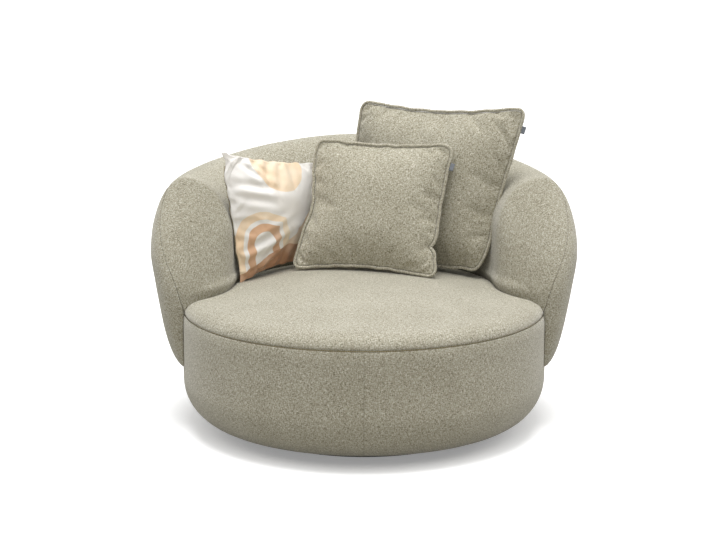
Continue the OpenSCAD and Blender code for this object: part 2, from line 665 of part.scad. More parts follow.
module outer_shell_board() color(hardboard) under_frame_top(0)
    sector(shell_ri, shell_ro, low_rungs[1] + 1, back_z - low_rungs[1], nose_from);

module back_screws() color([0.85, 0.76, 0.48]) back_screw_spots() translate([0, 0, gap])
    cylinder(d = ring_screw_d - 2 * gap, h = base_rail_top - back_screw_z - 2 * gap, $fn = 24);

// Foam of the back and arms. The side pads end a little below the top roll.
function below_roll(j) = [0, 0, j == mid_rung ? layer_gap : 0];
module pad(stations, from, to, kind) {
    rungs = [for (j = [from : to]) j];
    outer = [for (s = stations) [for (j = rungs) kind == "inside"
        ? polar(s[0], lining_ri - gap, rung_z(s[0], j, foam_inset)) - below_roll(j)
        : outer_point(s, j, foam_inset) - (kind == "outside" ? below_roll(j) : [0, 0, 0])]];
    inner = [for (s = stations) [for (j = rungs) kind == "outside"
        ? polar(s[0], shell_ro + chord_gap, rung_z(s[0], j, foam_inset)) - below_roll(j)
        : kind == "skirt"
        ? polar(s[0], skirt_r - gap, rung_z(s[0], j, foam_inset) - (j == perch ? gap : 0))
        : inner_point(s, j, foam_inset) - (kind == "inside" ? below_roll(j) : [0, 0, 0])]];
    ladder_bar(outer, inner);
}
module inside_back_foam() color(foam_colour) pad(body_stations, perch, mid_rung, "inside");
module outside_back_foam() color(foam_colour) pad(body_stations, 1, mid_rung, "outside");
module top_roll_foam() color(foam_colour) pad(body_stations, mid_rung, top_rung, "roll");

// An arm's foam stops short of the seam at the arm's tip
tip_share = 0.4;
module arm_foam(side) {
    run = nose_side(side, foam_inset + 2 * gap, concat([0], nose_steps));
    last = len(run) - 1;
    stations = [for (i = [0 : last])
        i < last ? run[i] : run[last - 1] + tip_share * (run[last] - run[last - 1])];
    ordered = side < 0 ? backwards(stations) : stations;
    pad(ordered, perch, top_rung, "roll");
    pad(ordered, 1, perch, "skirt");
}
module left_arm_foam() color(foam_colour) arm_foam(-1);
module right_arm_foam() color(foam_colour) arm_foam(1);

module inside_back_cover() color(greige_light) back_skin(0);
module outside_back_cover() color(greige) back_skin(1);

// Loose cushions
module large_cushion_filling() color([0.97, 0.96, 0.93]) place_large()
    pillow(large_cut, large_pull, cover_t + gap);
module large_cushion_cover() color(greige) place_large()
    pillow_cover(large_cut, large_pull);
module large_cushion_piping() color(greige_light) place_large()
    piping(large_cut, large_pull);
module large_cushion_zip() color([0.45, 0.43, 0.38]) place_large()
    bottom_zip(large_cut, large_pull);
module large_cushion_tab() color([0.35, 0.36, 0.38]) place_large()
    seam_tab(large_cut, large_pull);

module small_cushion_filling() color([0.97, 0.96, 0.93]) place_small()
    pillow(small_cut, small_pull, cover_t + gap);
module small_cushion_cover() color(greige) place_small()
    pillow_cover(small_cut, small_pull);
module small_cushion_piping() color(greige_light) place_small()
    piping(small_cut, small_pull);
module small_cushion_zip() color([0.45, 0.43, 0.38]) place_small()
    bottom_zip(small_cut, small_pull);
module small_cushion_tab() color([0.50, 0.53, 0.56]) place_small()
    seam_tab(small_cut, small_pull);

module satin_cushion_filling() color([0.97, 0.96, 0.93]) place_satin()
    pillow(satin_cut, satin_pull, cover_t + gap);
module satin_cushion_cover() color([0.95, 0.89, 0.79]) place_satin()
    pillow_cover(satin_cut, satin_pull);
module satin_cushion_zip() color([0.62, 0.50, 0.30]) place_satin()
    edge_tube(edge_points(satin_cut, satin_pull), 3 * cushion_cells + 2, 4 * cushion_cells - 2,
        zip_r + gap, 0, zip_r, false);

floor_felt();
plinth_board();
lower_swivel_plate();
lower_plate_screws();
bearing_balls();
ball_cage();
centre_rivet();
upper_swivel_plate();
upper_plate_bolts();
deck_tee_nuts();
bottom_deck();
drum_blocks();
drum_hoop();
seat_ring();
ring_screws();
webbing_front_back();
webbing_left_right();
seat_foam();
seat_cover();
drum_side_foam();
drum_band_cover();
dust_cover();
back_base_rail();
back_uprights();
back_top_rail();
arm_end_boards();
spacer_rail();
inner_lining_board();
outer_shell_board();
back_screws();
inside_back_foam();
outside_back_foam();
top_roll_foam();
left_arm_foam();
right_arm_foam();
inside_back_cover();
outside_back_cover();
large_cushion_filling();
large_cushion_cover();
large_cushion_piping();
large_cushion_zip();
large_cushion_tab();
small_cushion_filling();
small_cushion_cover();
small_cushion_piping();
small_cushion_zip();
small_cushion_tab();
satin_cushion_filling();
satin_cushion_cover();
satin_cushion_zip();
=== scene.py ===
# %% [markdown]
# # A round swivel armchair
# The chair is a round drum with a crowned seat, a padded back that wraps round it and ends
# in two rounded arms, and three loose cushions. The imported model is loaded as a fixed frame,
# and every piece of fabric is then made over it, in metres and in the same place.

# %% The frame and the tools
import json
import math

import bmesh
import bpy
import numpy as np
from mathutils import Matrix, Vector, noise


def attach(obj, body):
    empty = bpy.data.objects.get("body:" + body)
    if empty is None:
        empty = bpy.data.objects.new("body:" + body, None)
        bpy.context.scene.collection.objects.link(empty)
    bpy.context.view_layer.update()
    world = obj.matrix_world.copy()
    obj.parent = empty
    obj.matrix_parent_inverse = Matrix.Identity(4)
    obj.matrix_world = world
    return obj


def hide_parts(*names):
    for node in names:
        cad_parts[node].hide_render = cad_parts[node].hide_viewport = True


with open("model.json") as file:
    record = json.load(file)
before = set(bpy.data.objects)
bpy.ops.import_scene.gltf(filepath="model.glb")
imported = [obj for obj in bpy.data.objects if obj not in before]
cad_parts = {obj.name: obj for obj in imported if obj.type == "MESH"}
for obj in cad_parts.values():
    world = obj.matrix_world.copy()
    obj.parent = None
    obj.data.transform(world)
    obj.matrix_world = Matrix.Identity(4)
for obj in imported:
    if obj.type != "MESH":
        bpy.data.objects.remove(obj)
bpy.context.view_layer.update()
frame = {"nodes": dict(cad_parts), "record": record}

# %% [markdown]
# The camera comes first, because every later choice is judged through it. A long lens six
# metres away sees the chair almost without perspective, as a shop photograph does. The lens
# could be guessed by eye, but it was worked out from the ellipse of the drum's seam.

# %% Camera
distance, eye_height, tilt = 6.0, 1.778, 12.08
picture_width, offset_right = 716, 6
camera = bpy.data.cameras.new("camera")
camera.sensor_width = 36.0
camera.lens = 98.4
camera.shift_x = -offset_right / picture_width
camera_object = bpy.data.objects.new("camera", camera)
camera_object.location = (0.0, -distance, eye_height)
camera_object.rotation_euler = (math.radians(90 - tilt), 0.0, 0.0)
bpy.context.scene.collection.objects.link(camera_object)
bpy.context.scene.camera = camera_object

# %% [markdown]
# The chair's main sizes, in metres. They repeat the sizes that the solids were made from, so
# that the fabric lies exactly on them. Angles are in degrees, measured from the rear.

# %% Sizes
drum_radius = 0.570
seam_radius, seam_height = 0.566, 0.378
crown_height, crown_fall = 0.472, 0.048
shoulder_radius, shoulder_height = 0.486, 0.424
foot_radius, foot_rise, foot_top = 0.445, 0.141, 0.171
cloth = 0.003
hem_radius, hem_height = 0.577, 0.212
belly_radius, belly_height = 0.670, 0.555
wall_radius, wall_height = 0.415, 0.600
ridge_radius, ridge_back, ridge_side, ridge_dip = 0.565, 0.843, 0.772, 0.52
back_foot = 0.386
arm_from, arm_turn, arm_round = 84.0, 17.0, 0.7
arm_tip = 0.560
arm_lean, lean_height = 0.90, 0.440
print("drum", 2 * drum_radius, "m across, back", ridge_back, "m high")

# %% [markdown]
# Three helpers carry most of the fabric. One turns rows of points into a smooth sheet of quads
# with a UV map in metres, so that one woven finish has the same scale everywhere. One gives
# smooth noise, because stuffed fabric is never perfectly even. The last hangs a finished piece
# on the body it rides on, and hides the solid it stands for.

# %% Mesh helpers
def add_object(name, mesh):
    piece = bpy.data.objects.new(name, mesh)
    bpy.context.scene.collection.objects.link(piece)
    return piece


def xyz(x, y, z):
    return np.stack(np.broadcast_arrays(x, y, z), -1)


def way_along(r, z):
    """Length of an outline up to each of its points."""
    return np.concatenate([[0], np.cumsum(np.hypot(np.diff(r), np.diff(z)))])


def sheet_of_quads(name, points, uv, material):
    """points and uv are arrays of rows x columns."""
    rows, columns = points.shape[:2]
    index = np.arange(rows * columns).reshape(rows, columns)
    here, after = index[:, :-1], index[:, 1:]
    faces = np.stack([here[:-1], after[:-1], after[1:], here[1:]], -1).reshape(-1, 4)
    mesh = bpy.data.meshes.new(name)
    mesh.from_pydata(points.reshape(-1, 3).tolist(), [], faces.tolist())
    put_uv(mesh, uv.reshape(-1, 2))
    mesh.materials.append(material)
    return add_object(name, mesh)


def put_uv(mesh, uv):
    layer = mesh.uv_layers.new(name="cloth")
    corner = np.empty(len(mesh.loops), dtype=np.int64)
    mesh.loops.foreach_get("vertex_index", corner)
    layer.data.foreach_set("uv", uv[corner].astype(np.float32).ravel())


def points_of(mesh):
    flat = np.empty(len(mesh.vertices) * 3)
    mesh.vertices.foreach_get("co", flat)
    return flat.reshape(-1, 3)


def set_points(mesh, points):
    mesh.vertices.foreach_set("co", np.asarray(points).ravel())
    mesh.update()


def soften(piece, merge=0.0, without=()):
    """Leaves out some points, joins doubled ones and shades the piece smooth."""
    work = bmesh.new()
    work.from_mesh(piece.data)
    work.verts.ensure_lookup_table()
    bmesh.ops.delete(work, geom=[work.verts[i] for i in without], context="VERTS")
    if merge:
        bmesh.ops.remove_doubles(work, verts=work.verts, dist=merge)
    for face in work.faces:
        face.smooth = True
    work.to_mesh(piece.data)
    work.free()
    return piece


def unevenness(points, wavelength, seed):
    """Smooth noise from -1 to 1 at each point."""
    shifted = np.asarray(points).reshape(-1, 3) / wavelength + seed * 7.3
    values = [noise.noise(Vector(p)) for p in shifted.tolist()]
    return np.reshape(values, np.shape(points)[:-1])


def finished_mesh(piece):
    """The mesh of a piece as its modifiers leave it."""
    graph = bpy.context.evaluated_depsgraph_get()
    return bpy.data.meshes.new_from_object(
        piece.evaluated_get(graph), preserve_all_data_layers=True, depsgraph=graph)


def bake_modifiers(piece):
    """Applies every modifier, so that the piece is a plain mesh."""
    mesh = finished_mesh(piece)
    piece.modifiers.clear()
    piece.data = mesh
    return piece


def thicken(piece, thickness, offset=0):
    solid = piece.modifiers.new("thickness", "SOLIDIFY")
    solid.thickness, solid.offset = thickness, offset
    return bake_modifiers(piece)


def hand_over(piece, body, node=None):
    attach(piece, body)
    if node:
        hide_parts(node)
    print(piece.name, len(piece.data.polygons), "faces")


# %% [markdown]
# Node trees are written as formulas. A small class wraps an output socket and gives it the
# signs + - * /, so that `1 - mask` or `height * 0.5` adds its Math nodes by itself. The same
# class serves materials and geometry nodes, because both know the Math node.

# %% Formulas on sockets
class Wire:
    """One output of a node, ready to be used in a formula."""

    def __init__(self, bench, socket):
        self.bench, self.socket = bench, socket

    def math(self, operation, *others, clamp=False):
        node = self.bench.node("ShaderNodeMath", {"operation": operation, "use_clamp": clamp},
                               dict(enumerate((self,) + others)))
        return self.bench.wire(node)

    def __add__(self, other): return self.math("ADD", other)
    def __sub__(self, other): return self.math("SUBTRACT", other)
    def __mul__(self, other): return self.math("MULTIPLY", other)
    def __truediv__(self, other): return self.math("DIVIDE", other)
    def __pow__(self, other): return self.math("POWER", other)
    def __neg__(self): return self.math("MULTIPLY", -1.0)
    def __rsub__(self, other): return -self + other
    def __rtruediv__(self, other): return self.math("POWER", -1.0) * other
    __radd__, __rmul__ = __add__, __mul__

    def sin(self): return self.math("SINE")
    def cos(self): return self.math("COSINE")
    def root(self): return self.math("SQRT")
    def size(self): return self.math("ABSOLUTE")
    def most(self, other): return self.math("MAXIMUM", other)
    def clamp(self): return self.math("ADD", 0.0, clamp=True)

    def ramp(self, low, high):
        """0 below low, 1 above high and a smooth rise between."""
        node = self.bench.node("ShaderNodeMapRange", {"interpolation_type": "SMOOTHSTEP"},
                               {"Value": self, "From Min": low, "From Max": high})
        return self.bench.wire(node)


class Bench:
    """Adds nodes to one tree. A socket takes a number, a wire or a node's first output."""

    def __init__(self, tree):
        self.tree = tree

    def node(self, kind, settings=None, sockets=None):
        made = self.tree.nodes.new(kind)
        for key, value in (settings or {}).items():
            setattr(made, key, value)
        for key, value in (sockets or {}).items():
            socket = made.inputs[key]
            if isinstance(value, Wire):
                value = value.socket
            elif isinstance(value, bpy.types.Node):
                value = value.outputs[0]
            if isinstance(value, bpy.types.NodeSocket):
                self.tree.links.new(value, socket)
            else:
                socket.default_value = value
        return made

    def wire(self, node, output=0):
        return Wire(self, node.outputs[output])

    def mix(self, factor, first, second):
        """Mixes two colours."""
        made = self.node("ShaderNodeMix", {"data_type": "RGBA"},
                         {0: factor, 6: first, 7: second})
        return self.wire(made, 2)

    def vector(self, operation, first, second):
        made = self.node("ShaderNodeVectorMath", {"operation": operation}, {0: first, 1: second})
        return self.wire(made, "Vector")

    def noise(self, where, scale, detail=2.0, roughness=0.5):
        made = self.node("ShaderNodeTexNoise", None, {
            "Vector": where, "Scale": scale, "Detail": detail, "Roughness": roughness})
        return self.wire(made)

    def split(self, vector):
        made = self.node("ShaderNodeSeparateXYZ", None, {0: vector})
        return [self.wire(made, axis) for axis in range(3)]

    def join(self, x, y, z=0.0):
        return self.wire(self.node("ShaderNodeCombineXYZ", None, {0: x, 1: y, 2: z}))


def new_material(name, base, roughness, metallic=0.0, bump=None, bump_depth=0.001,
                 bump_strength=0.5, fixed=None):
    """base and bump are functions of the bench; fixed holds more sockets of the shader."""
    material = bpy.data.materials.new(name)
    material.use_nodes = True
    tree = material.node_tree
    tree.nodes.clear()
    bench = Bench(tree)
    sockets = {"Base Color": base(bench), "Metallic": metallic, "Roughness": roughness}
    if bump:
        sockets["Normal"] = bench.wire(bench.node("ShaderNodeBump", None, {
            "Height": bump(bench), "Distance": bump_depth, "Strength": bump_strength}))
    for label, value in (fixed or {}).items():
        sockets[label] = value(bench) if callable(value) else value
    shader = bench.node("ShaderNodeBsdfPrincipled", None, sockets)
    bench.node("ShaderNodeOutputMaterial", None, {"Surface": shader})
    return material


def colour(red, green, blue):
    """A colour as it looks on a screen, 0 to 255, made linear for the shader."""
    linear = [s / 12.92 if s <= 0.04045 else ((s + 0.055) / 1.055) ** 2.4
              for s in (red / 255, green / 255, blue / 255)]
    return (*linear, 1.0)


def dimmed(tone, factor):
    return tuple(c * factor for c in tone[:3]) + (1.0,)


# %% [markdown]
# The chair's fabric is a soft, thick plain weave of mixed yarns: cream and grey-brown fibres
# are spun together, so each thread changes tone every few millimetres. A photograph of cloth
# would repeat, so the yarn is drawn by formulas on the UV map: two crossing sine waves for
# the threads, and noise that is long along each thread for its slubs.

# %% Chair fabric
YARN = 0.0026


def cloth_place(bench):
    return bench.wire(bench.node("ShaderNodeUVMap", {"uv_map": "cloth"}))


def object_place(bench):
    return bench.wire(bench.node("ShaderNodeTexCoord"), "Object")


def woven_height(bench):
    place = cloth_place(bench)
    wander = bench.noise(place, 95.0, 1.0)
    u, v, _ = bench.split(place)
    u, v = u + wander * (YARN * 1.4), v - wander * (YARN * 1.2)
    threads = (u * (math.pi / YARN)).sin() * (v * (math.pi / YARN)).sin()
    fuzz = bench.noise(place, 620.0, 2.0)
    return threads * 0.32 + fuzz * 0.9


def melange(bench, dark, middle, light):
    place = cloth_place(bench)
    u, v, _ = bench.split(place)
    along_warp = bench.noise(bench.join(u * 430.0, v * 100.0), 1.0, 1.0)
    along_weft = bench.noise(bench.join(u * 100.0, v * 430.0, 4.0), 1.0, 1.0)
    fleck = bench.noise(object_place(bench), 290.0, 2.0)
    cloud = bench.noise(object_place(bench), 9.0, 2.0)
    tone = (along_warp + along_weft) * 0.75 + fleck * 1.3 + cloud * 0.16 - 1.48
    pale = tone.ramp(0.0, 0.40)
    deep = (-tone).ramp(0.0, 0.36)
    return bench.mix(deep, bench.mix(pale, middle, light), dark)


# lift scales the three tones of a copy: below 1 it paints shade, above 1 it paints light on the
# same fabric.
def chair_fabric(name, lift=1.0):
    tones = [dimmed(colour(*tone), lift)
             for tone in ((112, 106, 87), (160, 155, 137), (200, 197, 184))]
    return new_material(
        name, lambda b: melange(b, *tones), 0.92, bump=woven_height, bump_depth=0.0012,
        bump_strength=0.55, fixed={"Sheen Weight": 0.34, "Sheen Roughness": 0.5,
                                   "Specular IOR Level": 0.25})


fabric = chair_fabric("woven_melange")
# The seat's copy of the fabric is 6% darker: painted shade, against the strong light on its top.
seat_fabric = chair_fabric("woven_melange_seat_painted_shade", 0.94)
# The cushions' copy is 13% lighter: painted light on their fronts, on one and the same cloth.
cushion_fabric_painted_light = chair_fabric("woven_melange_cushion_painted_light", 1.13)

# %% [markdown]
# The seat is a round foam pad under a tight cover. Its top is crowned, and it rounds over a
# wide shoulder down to the seam. A turned profile would leave a pole in the middle, so a
# square grid of quads is pressed into a disc instead. Next to the back the cover dives down,
# as it does where it is pulled through, and what lies inside the back is cut away.

# %% Profile of the seat
hollow_radii, hollow_heights = [0.394, 0.5074], [0.4405, 0.4223]


def seat_outline():
    """Radii and heights from the middle of the seat to its seam."""
    r = np.linspace(0, shoulder_radius, 200)
    z = crown_height - crown_fall * (r / shoulder_radius) ** 2
    t = np.radians(np.linspace(88, 0, 60))
    r = np.concatenate([r, shoulder_radius + (seam_radius - shoulder_radius) * np.cos(t)])
    z = np.concatenate([z, seam_height + (shoulder_height - seam_height) * np.sin(t)])
    # Tight cloth spans the faint hollow between the crown and the shoulder
    z = np.maximum(z, np.interp(r, hollow_radii, hollow_heights, left=0.0, right=0.0))
    even = np.linspace(0, 0.54, 541)
    level = np.interp(even, r, z)
    kernel = np.hanning(41) / np.hanning(41).sum()
    smooth = np.convolve(np.pad(level, 20, mode="reflect", reflect_type="odd"), kernel, "valid")
    share = np.clip((r - 0.50) / 0.03, 0, 1)
    return r, np.interp(r, even, smooth) * (1 - share) + z * share


OUTLINE_R, OUTLINE_Z = seat_outline()


def seat_profile(share):
    """Radius and height at a share of the way from middle to seam, and that way's length."""
    r = np.append(OUTLINE_R, [seam_radius - inwards for inwards in (0.0006, 0.0028, 0.0060)])
    z = np.append(OUTLINE_Z, [seam_height - below for below in (0.0016, 0.0026, 0.0030)])
    run = way_along(r, z)
    return np.interp(share * run[-1], run, r), np.interp(share * run[-1], run, z), run[-1]


def seat_level(x, y):
    """Height of the seat's top at a point, as the cushions find it."""
    return np.interp(np.hypot(x, y), OUTLINE_R, OUTLINE_Z)


def arm_end(t):
    """Angle from the rear and share of the full section, t degrees round an arm's end."""
    across = np.clip(np.cos(np.radians(t)), 0, 1) ** arm_round
    return arm_from + arm_turn * np.sin(np.radians(t)) ** arm_round, across


def nose_plan():
    """Angles from the rear and radii, in plan, from an arm's inside to its tip."""
    turn, across = arm_end(np.linspace(0, 90, 60))
    return turn, arm_tip + (wall_radius - arm_tip) * across


def wall_outline(angle):
    """Radius of the back's inside in plan, at an angle from the rear in degrees."""
    return np.interp(np.abs(angle), *nose_plan(), left=wall_radius, right=1.0)


def in_plan(radius, angle):
    """x and y of points at an angle from the rear in radians."""
    return np.stack([radius * np.sin(angle), radius * np.cos(angle)], -1)


# %% Seat cover
TUCK, OVERLAP = 0.0024, 0.014


def make_seat_cover(cells=190):
    g = np.linspace(-1, 1, cells + 1)
    u, v = np.meshgrid(g, g, indexing="xy")
    x, y = u * np.sqrt(1 - v * v / 2), v * np.sqrt(1 - u * u / 2)
    share, angle = np.hypot(x, y), np.arctan2(y, x)
    radius, height, run = seat_profile(np.minimum(share, 1.0))
    px, py = radius * np.cos(angle), radius * np.sin(angle)
    from_rear = np.degrees(np.abs(np.arctan2(px, py)))
    turned, reach = nose_plan()
    rim = np.concatenate([in_plan(wall_radius, np.radians(np.linspace(-arm_from, arm_from, 240))),
                          in_plan(reach, -np.radians(turned)), in_plan(reach, np.radians(turned))])
    near = np.concatenate([np.sqrt(((part[:, None] - rim[None]) ** 2).sum(-1).min(1)) for part in
                           np.array_split(np.stack([px.ravel(), py.ravel()], -1), 9)])
    near = near.reshape(px.shape)
    inside = radius > wall_outline(from_rear)
    swell = 0.0030 * np.exp(-((near - 0.024) / 0.014) ** 2)
    tuck = np.where(inside, TUCK + near * 1.2, TUCK * np.exp(-near / 0.005) - swell)
    points = xyz(px, py, height - tuck)
    soft = unevenness(points, 0.16, 1) * 0.0012 + unevenness(points, 0.06, 2) * 0.0005
    points[..., 2] += soft * (share < 0.9)
    uv = np.stack([x * run, y * run], -1)
    # The seat cover takes the darker copy of the fabric, which is painted shade.
    seat = sheet_of_quads("seat_cover_sewn", points, uv, seat_fabric)
    return soften(seat, without=np.flatnonzero(inside & (near > OVERLAP)))


hand_over(make_seat_cover(), "seat", "seat_cover")

# %% [markdown]
# The band round the drum follows a rule: one outline, turned about the swivel axis. Geometry
# nodes suit it, because the outline can be given as formulas with named sizes. A flat grid is
# bent round by Set Position. The grid's columns go round the drum and its rows go down it.

# %% Geometry node helpers
def new_tree(name, inputs):
    """A geometry tree, its bench and its inputs; inputs is {name: (socket type, default)}."""
    tree = bpy.data.node_groups.new(name, "GeometryNodeTree")
    tree.interface.new_socket("Geometry", in_out="INPUT", socket_type="NodeSocketGeometry")
    for label, (kind, default) in inputs.items():
        socket = tree.interface.new_socket(label, in_out="INPUT", socket_type=kind)
        if default is not None:
            socket.default_value = default
    tree.interface.new_socket("Geometry", in_out="OUTPUT", socket_type="NodeSocketGeometry")
    bench = Bench(tree)
    entry = bench.node("NodeGroupInput")
    return tree, bench, {s.name: bench.wire(entry, s.name) for s in entry.outputs if s.name}


def end_tree(bench, geometry, material):
    """Makes instances real, gives them their material and closes the tree."""
    real = bench.node("GeometryNodeRealizeInstances", None, {"Geometry": geometry})
    bench.node("NodeGroupOutput", None, {0: bench.node(
        "GeometryNodeSetMaterial", None, {"Geometry": real, "Material": material})})


def shaded_smooth(bench, geometry):
    return bench.node("GeometryNodeSetShadeSmooth", None, {"Geometry": geometry})


def stored(bench, geometry, name, value, kind="FLOAT", domain="POINT"):
    """Keeps a value as a named attribute; a UV map is of kind FLOAT2 on corners."""
    return bench.node("GeometryNodeStoreNamedAttribute", {"data_type": kind, "domain": domain},
                      {"Geometry": geometry, "Name": name, "Value": value})


def run_tree(name, start, tree, values):
    """Runs a tree on a start object and returns the result as a plain mesh object."""
    modifier = start.modifiers.new("shape", "NODES")
    modifier.node_group = tree
    for item in tree.interface.items_tree:
        if item.item_type == "SOCKET" and item.in_out == "INPUT" and item.name in values:
            modifier[item.identifier] = values[item.name]
    mesh = finished_mesh(start)
    mesh.name = name
    bpy.data.objects.remove(start)
    return add_object(name, mesh)


def curve_through(paths, closed=False):
    """One curve object of straight steps through the points of each path."""
    curve = bpy.data.curves.new("path", "CURVE")
    curve.dimensions = "3D"
    for path in paths:
        spline = curve.splines.new("POLY")
        spline.points.add(len(path) - 1)
        spline.points.foreach_set("co", np.c_[path, np.ones(len(path))].ravel())
        spline.use_cyclic_u = closed
    return add_object("path", curve)


# %% Band round the drum
FLOAT, COUNT, MATERIAL = "NodeSocketFloat", "NodeSocketInt", "NodeSocketMaterial"


def band_tree():
    tree, b, size = new_tree("turned_band", {
        "Radius": (FLOAT, drum_radius), "Seam radius": (FLOAT, seam_radius),
        "Seam height": (FLOAT, seam_height), "Rounding top": (FLOAT, foot_top),
        "Rounding rise": (FLOAT, foot_rise), "Foot radius": (FLOAT, foot_radius),
        "Columns": (COUNT, 600), "Rows": (COUNT, 70), "Fabric": (MATERIAL, None)})
    grid = b.node("GeometryNodeMeshGrid", None, {
        "Size X": 1.0, "Size Y": 1.0, "Vertices X": size["Columns"], "Vertices Y": size["Rows"]})
    u, v, _ = b.split(b.wire(b.node("GeometryNodeInputPosition")))
    v = (0.5 - v) ** 2.0
    u = u * 0.1 + u * u * u * 3.6 + 0.5
    straight, rolled_in, groove_width, swell_width = 0.44, 0.0065, 0.0016, 0.010
    down = (v / straight).clamp()
    bend = ((v - straight) / (1 - straight)).clamp() * (math.pi / 2)
    rolled = ((rolled_in - v) / rolled_in).clamp()
    taper = (1.0 - (down * 5.5).clamp()) ** 2.0
    radius = (size["Foot radius"] + (size["Radius"] - size["Foot radius"]) * bend.cos()
              - (size["Radius"] - size["Seam radius"]) * taper - rolled * 0.0062)
    height = (size["Seam height"] - 0.003 - (size["Seam height"] - 0.003 - size["Rounding top"])
              * down - size["Rounding rise"] * bend.sin() - rolled * 0.0004)
    angle = u * (2 * math.pi) + math.pi / 2
    around = (angle - 1.5 * math.pi) * size["Radius"]
    groove, swell = [
        (-((around / width) * (around / width))).math("EXPONENT") * depth
        for width, depth in ((groove_width, 0.0022), (swell_width, 0.0007))]
    wave = b.noise(b.join(angle.cos() * 3.1, angle.sin() * 3.1, height * 3.0), 1.4, 1.0)
    radius = radius - (groove - swell) + (wave - 0.5) * 0.0035 * (1.0 - taper)
    where = b.join(angle.cos() * radius, angle.sin() * radius, height)
    mapped = stored(b, grid, "cloth", b.join(around, v * -0.42), "FLOAT2", "CORNER")
    moved = b.node("GeometryNodeSetPosition", None, {"Geometry": mapped, "Position": where})
    joined = b.node("GeometryNodeMergeByDistance", None, {
        "Geometry": shaded_smooth(b, moved), "Distance": 0.00001})
    end_tree(b, joined, size["Fabric"])
    return tree


band = run_tree("drum_band_sewn", add_object("start", bpy.data.meshes.new("start")),
                band_tree(), {"Fabric": fabric})
hand_over(band, "seat", "drum_band_cover")

# %% [markdown]
# The back is one long bolster with the same section all round: up the outside over a full
# belly, over the ridge and down the inside. Towards each arm's end the section closes on a
# line, which makes the rounded nose. The outline is worked out at many stations, then each
# one is cut at the seam, so that the inside and outside covers meet there.

# %% Section of the back
def rise(share):
    """How full the outside is between hem and belly; its top end is upright."""
    q = np.clip(share, 0, 1)
    k = (q - 0.7) / 0.3
    value, slope = np.sqrt(0.7), 0.5 / np.sqrt(0.7) * 0.3
    late = ((2 * k**3 - 3 * k**2 + 1) * value + (k**3 - 2 * k**2 + k) * slope
            + (-2 * k**3 + 3 * k**2))
    return np.where(q < 0.7, np.sqrt(q), late)


def ridge_at(angle):
    """Height of the ridge. It falls faster beside the rear than a plane would."""
    a = math.radians(angle)
    return ridge_side + (ridge_back - ridge_side) * math.cos(a) * (
        1 - ridge_dip * math.sin(a) ** 2)


def section(angle, share, steps=220):
    """Points [radius, height] up the outside and down the inside at one station."""
    ridge = ridge_at(angle)
    low = np.linspace(0, 1, steps) ** 1.6
    z_low = hem_height + (belly_height - hem_height) * low
    r_low = hem_radius + (belly_radius - hem_radius) * rise(low)
    phi = np.radians(np.linspace(0, 90, steps))[1:]
    z_top = belly_height + (ridge - belly_height) * np.sin(phi)
    r_top = ridge_radius + (belly_radius - ridge_radius) * np.cos(phi)
    psi = phi[::-1][1:]
    z_in = wall_height + (ridge - wall_height) * np.sin(psi)
    r_in = ridge_radius - (ridge_radius - wall_radius) * np.cos(psi)
    z_wall = np.linspace(wall_height, back_foot, steps)
    z = np.concatenate([z_low, z_top, z_in, z_wall])
    r = np.concatenate([r_low, r_top, r_in, np.full(steps, wall_radius)])
    closes = np.interp(z, [0.342, 0.378, back_foot + 0.0845], [drum_radius, 0.5675, arm_tip])
    r = closes + (r - closes) * share
    z = np.where(z > belly_height, belly_height + (z - belly_height) * (0.25 + 0.75 * share), z)
    top = steps + steps - 2
    return r, z, top


def leaning(angle, z):
    """Angle in radians of a point at height z; an arm's end leans back towards its top."""
    lean = arm_lean * np.clip((z - lean_height) / (ridge_side - lean_height), 0, 1) ** 1.4
    turn = math.copysign(max(abs(angle) - arm_from, 0.0), angle)
    return np.radians(angle - turn * lean)


def seam_height_at(t, angle):
    """Height of the seam between the covers; t is 0 on the back and 90 at an arm's tip."""
    ridge = ridge_at(angle)
    full = belly_height + (ridge - belly_height) * math.sin(math.radians(60))
    return back_foot + (full - back_foot) * max(math.cos(math.radians(t)), 0.0) ** 0.91


def stations():
    """[angle from the rear, share of the full section, t], from the left tip to the right."""
    body = [(a, 1.0, 0.0) for a in np.linspace(-arm_from, arm_from, 190)]
    nose = [(*(float(v) for v in arm_end(t)), t) for t in np.linspace(0, 90, 34)[1:]]
    return [(-a, s, t) for a, s, t in reversed(nose)] + body + nose


def edge_spacing(count):
    """Places from 0 to 1 that crowd together at both ends."""
    even = np.linspace(0, 1, count)
    ends = np.array([0, 0.0025, 0.005, 0.009, 0.015])
    inner = even[(even > 0.02) & (even < 0.98)]
    return np.concatenate([ends, inner, 1 - ends[::-1]])


def cover_points(part, count):
    """Rows of points of one cover, and its UV map."""
    places = edge_spacing(count)
    rows, runs = [], []
    for angle, share, t in stations():
        r, z, top = section(angle, share)
        run = way_along(r, z)
        cut = np.interp(seam_height_at(t, angle), z[:top + 1], run[:top + 1])
        span = (cut, run[-1]) if part == "inside" else (0.0, cut)
        middle_row = 0.5
        if part == "inside":
            over = (run[top] - cut) / (run[-1] - cut)
            middle_row += (over - 0.5) * (t / 90) ** 2
        share_of_span = np.where(places < 0.5, places * 2 * middle_row,
                                 1 - (1 - places) * 2 * (1 - middle_row))
        s = span[0] + (span[1] - span[0]) * share_of_span
        rr, zz = np.interp(s, run, r), np.interp(s, run, z)
        rows.append(np.concatenate([in_plan(rr, leaning(angle, zz)), zz[:, None]], -1))
        runs.append(s)
    rows, runs = np.array(rows), np.array(runs)
    # The map grows with the angle along the back, and with the middle row round an arm's end
    angles, _, ends = np.array(stations()).T
    by_angle = np.abs(np.diff(np.radians(angles))) * (0.47 if part == "inside" else 0.64)
    by_length = np.linalg.norm(np.diff(rows[:, rows.shape[1] // 2], axis=0), axis=-1)
    step = np.where(np.maximum(ends[1:], ends[:-1]) > 0, by_length, by_angle)
    across = np.concatenate([[0], np.cumsum(step)])
    return rows, np.stack([np.broadcast_to(across[:, None], runs.shape), runs], -1)


SEWN_DEPTH, SEWN_WIDTH, THREAD_RISE = 0.0046, 0.0042, 0.0002


